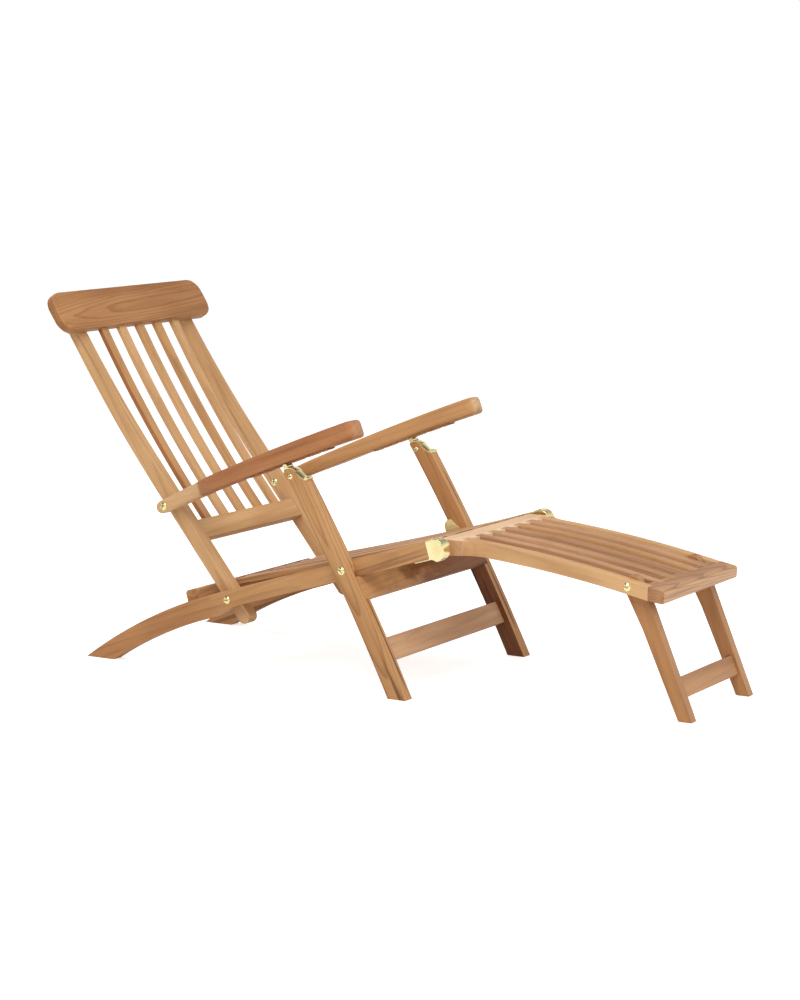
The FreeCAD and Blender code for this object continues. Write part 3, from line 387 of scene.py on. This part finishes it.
    @classmethod
    def colour(cls, kit: NodeTree, given: bpy.types.bpy_prop_collection, place: bpy.types.NodeSocket,
               layers: tuple[bpy.types.NodeSocket, ...]) -> bpy.types.NodeSocket:
        """Colour the wood by its layers.

        Args:
            kit: Where the nodes go.
            given: The group's inputs.
            place: Where the patches and streaks are read.
            layers: Late wood, bands, fibres and pores, each from 0 to 1.

        Returns:
            The colour.
        """
        late, bands, fibres, pores = layers
        patches = kit.math("MULTIPLY", kit.layer(place, cls.PATCHES), cls.PATCH_DARKNESS)
        dark = kit.math("MULTIPLY_ADD", bands, cls.BAND_DARKNESS, patches)
        strands = kit.math("MULTIPLY", kit.math("SUBTRACT", fibres, 0.5), cls.FIBRE_DARKNESS)
        dark = kit.math("ADD", dark, strands)
        colour = kit.mix(kit.ramp(dark, cls.DARKNESS_SPAN), given["Pale"], given["Dark"])
        deep = kit.vector("MULTIPLY", given["Dark"], cls.DEEPENING).outputs[0]
        colour = kit.mix(kit.math("MULTIPLY", late, given["Figure"]), colour, deep)
        lines = kit.layer(place, cls.STREAK_LINES)
        parts = kit.layer(place, cls.STREAKED_PARTS)
        streaks = kit.math("MULTIPLY", kit.math("MULTIPLY", lines, parts), given["Streaks"])
        colour = kit.mix(streaks, colour, deep)
        colour = kit.mix(kit.math("MULTIPLY", pores, cls.PORE_DARKNESS), colour, deep)
        ended = kit.vector("MULTIPLY", colour, given["Ended"]).outputs[0]
        return kit.mix(given["End"], colour, ended)


@dataclass(frozen=True)
class Teak:
    """Sanded and lightly oiled teak on one board.

    Attributes:
        tone: Colours of the board.
        cut: How it was sawn.
        figure: Strength of the growth rings, from 0 to 1.
        ring: Distance between two growth rings, in metres.
        streaks: Strength of the dark mineral streaks, from 0 to 1.
        wander: How far the rings stray, in metres.
        turning: A second tone, if the board changes colour along its length.
        change: Where that change starts and ends along the grain from the middle, in metres.
        ended: How the end grain shades the three channels.
        edge: A tone of the board's narrow sides, if they differ from its faces.
        blotch: How far patches of the second tone stray into the first, in metres.
    """

    tone: Tone
    cut: Cut
    figure: float = 0.15
    ring: float = 0.008
    streaks: float = 0.3
    wander: float = 0.03
    turning: Tone | None = None
    change: Span = (-0.01, 0.01)
    ended: Colour = (0.80, 0.74, 0.70)
    edge: Tone | None = None
    blotch: float = 0.0

    SLOT = "teak"
    BLOTCHES = Layer((14.0, 26.0, 26.0), detail=3.0)
    END_SPAN = (0.55, 0.9)
    FACE_SPAN = (0.5, 0.8)
    RELIEF_DEPTH = 0.00016
    RELIEF_STRENGTH = 0.7
    GLOSS = 0.35

    def material(self, name: str, middle: Vector, seed: float) -> bpy.types.Material:
        """Make the board's own material.

        Args:
            name: Name of the board.
            middle: Middle of the board, in metres.
            seed: A number that makes its figure differ from other boards.

        Returns:
            The new material.
        """
        material = bpy.data.materials.new(f"teak_{name}")
        material.use_nodes = True
        kit = NodeTree(material.node_tree)
        surface = material.node_tree.nodes["Principled BSDF"]
        where = kit.add("TexCoord")
        lay = kit.add("Mapping", vector_type="TEXTURE")
        kit.feed(lay.inputs["Vector"], where.outputs["Object"])
        lay.inputs["Location"].default_value = middle
        lay.inputs["Rotation"].default_value = self.cut.turn().to_euler()
        place, normal = lay.outputs[0], where.outputs["Normal"]
        grain = tuple(Vector(self.cut.along).normalized())
        pale, dark = self.tones(kit, place, normal)
        beside, behind = self.cut.heart
        figure = kit.add("Group", node_tree=TeakFigure.group())
        values = {
            "Place": place, "End": self.facing(kit, normal, grain, self.END_SPAN), "Pale": pale,
            "Dark": dark, "Ring": self.ring, "Beside": beside, "Behind": behind,
            "Climb": self.cut.climb, "Bow": self.cut.bow, "Crest": self.cut.crest, "Seed": seed,
            "Figure": self.figure, "Wander": self.wander, "Streaks": self.streaks, "Ended": self.ended,
        }
        for socket, value in values.items():
            kit.feed(figure.inputs[socket], value)
        kit.feed(surface.inputs["Base Color"], figure.outputs["Colour"])
        kit.feed(surface.inputs["Roughness"], figure.outputs["Roughness"])
        surface.inputs["Specular IOR Level"].default_value = self.GLOSS
        kit.relief(surface, figure.outputs["Height"], self.RELIEF_DEPTH, self.RELIEF_STRENGTH)
        return material

    def tones(self, kit: NodeTree, place: bpy.types.NodeSocket,
              normal: bpy.types.NodeSocket) -> tuple[object, object]:
        """Work out the board's colours where they change along its length or on its narrow sides.

        Args:
            kit: Where the nodes go.
            place: Place along, beside and behind the board's middle.
            normal: Direction of the surface.

        Returns:
            The pale and the dark colour.
        """
        pale, dark = self.tone.value
        if self.turning:
            stray = kit.math("SUBTRACT", kit.layer(place, self.BLOTCHES), 0.5)
            along = kit.math("MULTIPLY_ADD", stray, self.blotch, kit.split(place)[0])
            share = kit.ramp(along, self.change)
            later_pale, later_dark = self.turning.value
            pale, dark = kit.mix(share, pale, later_pale), kit.mix(share, dark, later_dark)
        if self.edge:
            share = self.facing(kit, normal, self.cut.face, self.FACE_SPAN)
            edge_pale, edge_dark = self.edge.value
            pale, dark = kit.mix(share, edge_pale, pale), kit.mix(share, edge_dark, dark)
        return pale, dark

    @staticmethod
    def facing(kit: NodeTree, normal: bpy.types.NodeSocket, direction: Point,
               span: Span) -> bpy.types.NodeSocket:
        """Tell which surfaces face a direction or its opposite.

        Args:
            kit: Where the nodes go.
            normal: Direction of the surface.
            direction: The direction.
            span: Cosines of the turn at which the share starts and is full.

        Returns:
            The share, from 0 to 1.
        """
        turn = kit.vector("DOT_PRODUCT", normal, direction).outputs["Value"]
        return kit.ramp(kit.math("ABSOLUTE", turn), span)


@dataclass(frozen=True)
class Brass:
    """Polished cast brass, dark in its hollows with painted shade and with polish and dirt that stay there.

    Attributes:
        bright: Colour of the polished metal.
        dull: Colour where the polish has worn off.
        grime_and_shade: Colour of the dirt and of the painted shade in the hollows.
        reach: How far a hollow's painted shade and dirt reach, in metres.
        slotted: Whether the metal is a screw head, whose slot and rim corners are darkened too, with painted
            shade and dirt.
    """

    bright: Colour = from_screen(248, 236, 180)
    dull: Colour = from_screen(238, 218, 150)
    # Painted shade: this dark colour fills the hollows, slots and screw rims, besides the dirt that stays
    # there.
    grime_and_shade: Colour = from_screen(58, 46, 22)
    reach: float = 0.0035
    slotted: bool = False

    SLOT = "brass"
    WEAR = Layer((16.0, 16.0, 16.0), detail=1.0, span=(0.4, 0.8))
    CASTING = Layer((60.0, 60.0, 60.0), detail=1.0)
    OPEN_SPAN = (0.55, 1.0)
    LEVEL_POINTINESS = 0.5
    CORNER_SPAN = (0.02, 0.09)
    POLISHED_ROUGHNESS = 0.17
    WEAR_ROUGHNESS = 0.06
    RELIEF_DEPTH = 0.0002
    RELIEF_STRENGTH = 0.15

    def material(self) -> bpy.types.Material:
        """Return the brass, made once for all castings and once for all screws."""
        name = "brass_screws" if self.slotted else "brass_polished"
        return bpy.data.materials.get(name) or self.make(name)

    def make(self, name: str) -> bpy.types.Material:
        """Make the brass.

        Args:
            name: Name of the material.

        Returns:
            The new material.
        """
        material = bpy.data.materials.new(name)
        material.use_nodes = True
        kit = NodeTree(material.node_tree)
        surface = material.node_tree.nodes["Principled BSDF"]
        where = kit.add("TexCoord").outputs["Object"]
        wear = kit.layer(where, self.WEAR)
        clean = kit.mix(wear, self.bright, self.dull)
        # The base colour takes painted shade and dirt where the metal is hollow.
        kit.feed(surface.inputs["Base Color"], kit.mix(self.clean_and_lit_share(kit), self.grime_and_shade, clean))
        surface.inputs["Metallic"].default_value = 1.0
        rough = kit.math("MULTIPLY_ADD", wear, self.WEAR_ROUGHNESS, self.POLISHED_ROUGHNESS)
        kit.feed(surface.inputs["Roughness"], rough)
        kit.relief(surface, kit.layer(where, self.CASTING), self.RELIEF_DEPTH, self.RELIEF_STRENGTH)
        return material

    def clean_and_lit_share(self, kit: NodeTree) -> bpy.types.NodeSocket:
        """Tell where the metal is open and rubbed clean, and where hollows and screw corners get painted
        shade as well as dirt.

        Args:
            kit: Where the nodes go.

        Returns:
            The share, from 0 in a hollow to 1 on an open face.
        """
        # Painted shade with the dirt: the piece's own hollows within reach are darkened in colour.
        hollow = kit.add("AmbientOcclusion", samples=8, only_local=True)
        hollow.inputs["Distance"].default_value = self.reach
        share = kit.ramp(hollow.outputs["AO"], self.OPEN_SPAN)
        if self.slotted:
            # Painted shade: the corners of a screw's slot and rim are darkened too, by pointiness.
            pointiness = kit.add("NewGeometry").outputs["Pointiness"]
            turn = kit.math("SUBTRACT", pointiness, self.LEVEL_POINTINESS)
            corner = kit.ramp(kit.math("ABSOLUTE", turn), self.CORNER_SPAN, (1.0, 0.0))
            share = kit.math("MULTIPLY", share, corner)
        return share


class Workshop:
    """Eases or sands the edges of the frame's own pieces and gives them their finish."""

    WELD = 2e-5
    EASE_ANGLE = math.radians(28)
    EASE_STEPS = 3
    RUB_STRENGTH = 0.5

    def __init__(self, nodes: dict[str, bpy.types.Object]) -> None:
        """Keep the frame's pieces by name.

        Args:
            nodes: The frame's objects.
        """
        self.nodes = nodes
        self.boards_done = 0

    def middle(self, node: str) -> Vector:
        """Return the middle of a node's box."""
        low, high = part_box(node)
        return (low + high) / 2

    def ease(self, node: str, width: float) -> None:
        """Round off a node's sharp edges with modifiers, which leave its mesh as packed.

        Args:
            node: Name of the node.
            width: Width of the rounding, in metres.
        """
        piece = self.nodes[node]
        weld = piece.modifiers.new("weld", "WELD")
        weld.merge_threshold = self.WELD
        bevel = piece.modifiers.new("arris", "BEVEL")
        bevel.width = width
        bevel.segments = self.EASE_STEPS
        bevel.limit_method = "ANGLE"
        bevel.angle_limit = self.EASE_ANGLE
        bevel.use_clamp_overlap = True
        bevel.miter_outer = "MITER_ARC"

    def sand(self, node: str, grit: float, passes: int) -> None:
        """Sand a node round all over with modifiers, which leave its mesh as packed.

        Args:
            node: Name of the node.
            grit: Size of the even mesh that is sanded, in metres.
            passes: Number of passes, where each takes the edges a little further back.
        """
        piece = self.nodes[node]
        even = piece.modifiers.new("even", "REMESH")
        even.mode = "VOXEL"
        even.voxel_size = grit
        even.use_smooth_shade = True
        rub = piece.modifiers.new("rub", "SMOOTH")
        rub.factor = self.RUB_STRENGTH
        rub.iterations = passes

    def timber(self, node: str, finish: Teak, width: float = 0.0016,
               sanded: tuple[float, int] | None = None) -> None:
        """Finish one wooden node.

        Args:
            node: Name of the node.
            finish: Its teak.
            width: Width of its eased edges, in metres.
            sanded: Mesh size in metres and passes, for a board that is sanded round instead.
        """
        self.boards_done += 1
        material = finish.material(node, self.middle(node), float(self.boards_done))
        self.complete(node, material, Teak.SLOT, width, sanded)

    def fitting(self, node: str, width: float = SCREW_EDGE, sanded: tuple[float, int] | None = None,
                slotted: bool = False) -> None:
        """Finish one brass node.

        Args:
            node: Name of the node.
            width: Width of its eased edges, in metres.
            sanded: Mesh size in metres and passes, for a casting that is rubbed round instead.
            slotted: Whether the fitting has slotted screw heads.
        """
        self.complete(node, Brass(slotted=slotted).material(), Brass.SLOT, width, sanded)

    def complete(self, node: str, material: bpy.types.Material, slot: str, width: float,
                 sanded: tuple[float, int] | None) -> None:
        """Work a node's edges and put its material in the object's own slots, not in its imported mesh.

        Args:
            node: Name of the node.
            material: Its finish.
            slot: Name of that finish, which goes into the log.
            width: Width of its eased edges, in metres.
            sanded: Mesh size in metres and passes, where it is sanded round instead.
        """
        if sanded:
            self.sand(node, *sanded)
        else:
            self.ease(node, width)
        piece = self.nodes[node]
        for place in piece.material_slots:
            place.link = "OBJECT"
            place.material = material
        log.info("finished %s in %s", node, slot)


@dataclass
class SeatFrame:
    """Side rails, cross rails, seat slats, stop rail and their brass."""

    rail_angle: float = 16.8
    leg_bend: float = 4.0
    slat_angle: float = 14.9
    slat_shift: float = 0.004
    rail_hearts: tuple[tuple[float, float], ...] = ((0.004, -0.035), (-0.006, -0.05))
    slat_tones: tuple[Tone, ...] = (
        Tone.HONEY, Tone.ROSY, Tone.BROWN, Tone.ROSY, Tone.HONEY, Tone.ROSY, Tone.GOLDEN,
    )

    def build(self, shop: Workshop) -> None:
        """Finish the seat frame's pieces.

        Args:
            shop: Where the finishing is done.
        """
        for side, heart in zip(SIDES, self.rail_hearts):
            cut = Cut(tilted(self.rail_angle + self.leg_bend), ACROSS, heart, climb=0.05)
            finish = Teak(Tone.BROWN, cut, figure=0.18, ring=0.014, streaks=0.6, turning=Tone.HONEY,
                          change=(-0.2, -0.02), blotch=0.2)
            shop.timber(f"{side}_side_rail", finish, width=0.002)
            shop.fitting(f"{side}_crossing_plate", width=0.0005)
            shop.fitting(f"{side}_knuckle", sanded=(0.0009, 12))
        for number, tone in enumerate(self.slat_tones, start=1):
            heart = (self.slat_shift * number - 0.014, -0.05)
            cut = Cut(tilted(self.slat_angle), UPWARD, heart, climb=0.02)
            shop.timber(f"seat_slat_{number}", Teak(tone, cut, ring=0.009, streaks=0.6))
        for node in ("rear_seat_rail", "front_seat_rail"):
            shop.timber(node, Teak(Tone.BROWN, Cut(ACROSS, UPWARD)))
        cut = Cut(ACROSS, tilted(self.rail_angle - 90), heart=(0.0, -0.04), climb=0.08)
        # Partly painted light and shade: the stop rail stays honey at its near end, where light reaches it,
        # and turns umber further under the seat, where shade falls; partly the wood's own tone.
        finish = Teak(Tone.HONEY, cut, ring=0.014, streaks=0.5, turning=Tone.UMBER,
                      change=(-0.12, 0.02), blotch=0.5)
        shop.timber("stop_rail", finish)
        finish = Teak(Tone.HONEY, cut, figure=0.3, ring=0.01, streaks=0.7, turning=Tone.UMBER,
                      change=(-0.2, -0.1))
        shop.timber("rear_cross_bar", finish)
        shop.fitting("crossing_bolts", slotted=True)


@dataclass
class Back:
    """Stiles, headrest, lower rail and slats of the back."""

    lean: float = 125.5
    slat_shift: float = 0.003
    stile_hearts: tuple[tuple[float, float], ...] = ((0.006, -0.05), (-0.004, -0.045))
    headrest_heart: tuple[float, float] = (0.0, -0.03325)
    headrest_drift: float = 0.06
    first_edge: Tone = Tone.RUSSET
    slat_tones: tuple[Tone, ...] = (Tone.HONEY, Tone.GOLDEN, Tone.GOLDEN, Tone.HONEY, Tone.GOLDEN)

    def build(self, shop: Workshop) -> None:
        """Finish the back's pieces.

        Args:
            shop: Where the finishing is done.
        """
        along, front = tilted(self.lean), tilted(self.lean - 90)
        for side, heart in zip(SIDES, self.stile_hearts):
            finish = Teak(Tone.GOLDEN, Cut(along, ACROSS, heart), figure=0.25, ring=0.009, streaks=0.4)
            shop.timber(f"{side}_back_stile", finish, width=0.003)
        for number, tone in enumerate(self.slat_tones, start=1):
            cut = Cut(along, front, heart=(self.slat_shift * number - 0.01, -0.05), climb=0.02)
            edge = self.first_edge if number == 1 else None
            finish = Teak(tone, cut, figure=0.12, streaks=0.25, edge=edge)
            shop.timber(f"back_slat_{number}", finish, width=0.0018)
        rising = tuple(Vector(ACROSS) + self.headrest_drift * Vector(along))
        oval = Cut(rising, front, self.headrest_heart, climb=0.0, bow=0.06, crest=0.14)
        finish = Teak(Tone.BROWN, oval, figure=0.38, ring=0.004, wander=0.018)
        shop.timber("headrest", finish, sanded=(0.0024, 14))
        cut = Cut(ACROSS, front, heart=(0.03, -0.06))
        finish = Teak(Tone.GOLDEN, cut, figure=0.12, ring=0.01, streaks=0.15)
        shop.timber("lower_back_rail", finish, width=0.002)
        shop.fitting("back_pivot_bolts", slotted=True)


@dataclass
class Arms:
    """The two arms with their racks and pivots."""

    rise: float = 21.8
    end_grain: Colour = (1.10, 1.35, 1.80)

    def build(self, shop: Workshop) -> None:
        """Finish the arms' pieces.

        Args:
            shop: Where the finishing is done.
        """
        cut = Cut(tilted(self.rise), UPWARD, heart=(0.02, -0.05), climb=0.04)
        near = Teak(Tone.BLOND, cut, ring=0.012, streaks=0.35, turning=Tone.RUSSET,
                    change=(-0.165, -0.15), ended=self.end_grain)
        far = Teak(Tone.HONEY, cut, ring=0.012, ended=self.end_grain)
        for side, finish in zip(SIDES, (near, far)):
            shop.timber(f"{side}_arm", finish, sanded=(0.002, 42))
            rack = Teak(finish.turning or finish.tone, cut)
            shop.timber(f"{side}_arm_rack", rack, width=0.0008)
            shop.fitting(f"{side}_arm_bolt", slotted=True)


@dataclass
class FrontLegs:
    """The front legs, their stretcher and the brass catches on their tops."""

    lean: float = 119.0

    def build(self, shop: Workshop) -> None:
        """Finish the front legs' pieces.

        Args:
            shop: Where the finishing is done.
        """
        opening = Cut(tilted(self.lean), ACROSS, heart=(0.002, -0.03), climb=-0.06)
        near = Teak(Tone.HONEY, opening, figure=0.42, ring=0.01, streaks=0.9, wander=0.035)
        cut = Cut(tilted(self.lean), ACROSS, heart=(0.006, -0.04), climb=0.05)
        # Partly painted shade: the far leg's broad faces turn dusky below the crossing, where shade falls on
        # its inner face, and its narrow front sides stay honey as lit faces; partly its dark heartwood.
        far = Teak(Tone.SHADED_DUSKY, cut, figure=0.2, ring=0.011, streaks=0.8, turning=Tone.BROWN,
                   change=(-0.02, 0.03), edge=Tone.HONEY)
        for side, finish in zip(SIDES, (near, far)):
            shop.timber(f"{side}_front_leg", finish, width=0.002)
            shop.fitting(f"{side}_leg_catch", width=0.0006)
        cut = Cut(ACROSS, tilted(self.lean - 90), heart=(0.03, -0.05))
        shop.timber("lower_stretcher", Teak(Tone.ROSY, cut, ring=0.01, streaks=0.2), width=0.002)
        shop.fitting("catch_bolts", slotted=True)


@dataclass
class Footrest:
    """The footrest's hinge board, rails, slats, nosing and folding legs."""

    fall: float = -8.5
    leg_lean: float = 111.5
    slat_shift: float = 0.004
    end_grain: Colour = (0.72, 0.60, 0.50)
    slat_tones: tuple[Tone, ...] = (Tone.TAWNY, Tone.TAWNY, Tone.TAWNY, Tone.HONEY, Tone.TAWNY)

    def build(self, shop: Workshop) -> None:
        """Finish the footrest's pieces.

        Args:
            shop: Where the finishing is done.
        """
        rail_cut = Cut(tilted(self.fall), ACROSS, heart=(0.004, -0.06), climb=0.02)
        rail = Teak(Tone.GOLDEN, rail_cut, figure=0.1, ring=0.01, streaks=0.12)
        leg_cut = Cut(tilted(self.leg_lean), ACROSS, heart=(0.004, -0.05))
        leg = Teak(Tone.BROWN, leg_cut, ring=0.01, edge=Tone.TAWNY)
        for side in SIDES:
            shop.timber(f"{side}_footrest_rail", rail, width=0.0018)
            shop.timber(f"{side}_footrest_leg", leg, width=0.002)
        for number, tone in enumerate(self.slat_tones, start=1):
            heart = (self.slat_shift * number - 0.012, -0.05)
            cut = Cut(tilted(self.fall), UPWARD, heart, climb=0.02)
            finish = Teak(tone, cut, ring=0.009, streaks=0.4)
            shop.timber(f"footrest_slat_{number}", finish, width=0.0014)
        board = Cut(ACROSS, UPWARD, heart=(0.03, -0.06))
        finish = Teak(Tone.SHELL, board, figure=0.12, ring=0.011, streaks=0.12, ended=self.end_grain)
        shop.timber("hinge_board", finish, width=0.0015)
        crown = Cut(ACROSS, UPWARD, heart=(0.0, -0.04), climb=0.05)
        finish = Teak(Tone.TAWNY, crown, figure=0.45, ring=0.006, streaks=0.7, wander=0.02,
                      ended=self.end_grain, edge=Tone.ROSY)
        shop.timber("nosing", finish, width=0.002)
        cut = Cut(ACROSS, tilted(self.leg_lean - 90), heart=(0.03, -0.06))
        shop.timber("footrest_stretcher", Teak(Tone.TAWNY, cut, figure=0.12, ring=0.009, streaks=0.1))
        shop.fitting("hinge_pins")
        shop.fitting("footrest_leg_bolts", slotted=True)


@dataclass(frozen=True)
class Lamp:
    """One square area lamp.

    Attributes:
        name: Name of the lamp.
        place: Where it hangs, in metres.
        width: Its width, in metres.
        power: Its power, in watts.
    """

    name: str
    place: Point
    width: float
    power: float


@dataclass
class Studio:
    """Pale floor, white backdrop, soft lamps and the camera."""

    camera_place: Point = (3.0882, -5.166, 1.2884)
    camera_azimuth: float = 30.902
    camera_elevation: float = 8.502
    lens: float = 96.99
    sensor: float = 36.0
    floor_half: float = 30.0
    floor_colour: Colour = (0.80, 0.80, 0.80)
    floor_roughness: float = 0.9
    floor_glow: float = 0.62
    floor_mirrored: float = 0.4
    lamps: tuple[Lamp, ...] = (
        Lamp("key", (0.6, -2.8, 3.6), width=2.6, power=92.0),
        Lamp("side", (3.4, -0.6, 2.2), width=2.2, power=36.0),
        Lamp("rear", (-2.6, 1.8, 3.0), width=2.0, power=34.0),
    )
    lamp_aim: Point = (0.0, 0.0, 0.4)
    ambient: float = 0.55
    ceiling: Span = (0.3, 0.62)
    ceiling_level: float = 0.14
    skirting: Span = (0.07, 0.15)
    skirting_level: float = 0.15

    def build(self) -> None:
        """Set up the floor, the world, the lamps and the camera."""
        self.lay_floor()
        self.light_world()
        for lamp in self.lamps:
            self.hang(lamp)
        self.place_camera()
        bpy.context.scene.view_settings.view_transform = "Standard"

    def lay_floor(self) -> None:
        """Lay the floor, which looks white and keeps the chair's shadow."""
        mesh = bpy.data.meshes.new("floor")
        work = bmesh.new()
        bmesh.ops.create_grid(work, x_segments=1, y_segments=1, size=self.floor_half)
        work.to_mesh(mesh)
        work.free()
        floor = bpy.data.objects.new("floor", mesh)
        bpy.context.scene.collection.objects.link(floor)
        material = bpy.data.materials.new("floor_paper")
        material.use_nodes = True
        kit = NodeTree(material.node_tree)
        surface = material.node_tree.nodes["Principled BSDF"]
        kit.feed(surface.inputs["Base Color"], self.floor_colour)
        surface.inputs["Roughness"].default_value = self.floor_roughness
        surface.inputs["Specular IOR Level"].default_value = 0.0
        path = kit.add("LightPath")
        mirrored = kit.math("MULTIPLY", path.outputs["Is Glossy Ray"], self.floor_mirrored)
        seen = kit.math("MAXIMUM", path.outputs["Is Camera Ray"], mirrored)
        seen = kit.math("MAXIMUM", seen, path.outputs["Is Transmission Ray"])
        surface.inputs["Emission Color"].default_value = WHITE
        kit.feed(surface.inputs["Emission Strength"], kit.math("MULTIPLY", seen, self.floor_glow))
        mesh.materials.append(material)

    def light_world(self) -> None:
        """Make the world white to the camera and softer elsewhere.

        Reflections see it white too, between a dim ceiling and a dim strip along the foot of the wall.
        """
        world = bpy.data.worlds.new("studio")
        bpy.context.scene.world = world
        world.use_nodes = True
        kit = NodeTree(world.node_tree)
        sky = world.node_tree.nodes["Background"]
        path = kit.add("LightPath")
        seen = kit.math("MAXIMUM", path.outputs["Is Camera Ray"], path.outputs["Is Glossy Ray"])
        seen = kit.math("MAXIMUM", seen, path.outputs["Is Transmission Ray"])
        sky.inputs["Color"].default_value = WHITE
        level = kit.math("MULTIPLY_ADD", seen, 1.0 - self.ambient, self.ambient)
        height = kit.split(kit.add("TexCoord").outputs["Generated"])[2]
        upper = kit.ramp(height, self.ceiling, (1.0, self.ceiling_level))
        lower = kit.ramp(height, self.skirting, (self.skirting_level, 1.0))
        dimming = kit.math("SUBTRACT", kit.math("MULTIPLY", upper, lower), 1.0)
        dimming = kit.math("MULTIPLY", dimming, path.outputs["Is Glossy Ray"])
        share = kit.math("ADD", dimming, 1.0)
        kit.feed(sky.inputs["Strength"], kit.math("MULTIPLY", level, share))

    def hang(self, lamp: Lamp) -> None:
        """Hang one lamp so that it faces the chair.

        Args:
            lamp: The lamp.
        """
        light = bpy.data.lights.new(lamp.name, "AREA")
        light.size = lamp.width
        light.energy = lamp.power
        body = bpy.data.objects.new(lamp.name, light)
        bpy.context.scene.collection.objects.link(body)
        body.location = lamp.place
        aim = Vector(self.lamp_aim) - Vector(lamp.place)
        body.rotation_euler = aim.to_track_quat("-Z", "Y").to_euler()

    def place_camera(self) -> None:
        """Place the camera at the photograph's viewing angle."""
        lens = bpy.data.cameras.new("camera")
        lens.lens = self.lens
        lens.sensor_width = self.sensor
        camera = bpy.data.objects.new("camera", lens)
        bpy.context.scene.collection.objects.link(camera)
        turn, rise = math.radians(self.camera_azimuth), math.radians(self.camera_elevation)
        level = math.cos(rise)
        back = Vector((math.sin(turn) * level, -math.cos(turn) * level, math.sin(rise)))
        camera.location = self.camera_place
        camera.rotation_euler = (-back).to_track_quat("-Z", "Y").to_euler()
        bpy.context.scene.camera = camera


def main() -> None:
    logging.basicConfig(level=logging.INFO, format="%(name)s: %(message)s")
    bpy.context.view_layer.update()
    shop = Workshop(frame["nodes"])
    for part in (SeatFrame(), Back(), Arms(), FrontLegs(), Footrest()):
        part.build(shop)
        log.info("built %s", type(part).__name__)
    Studio().build()


if __name__ == "__main__":
    main()
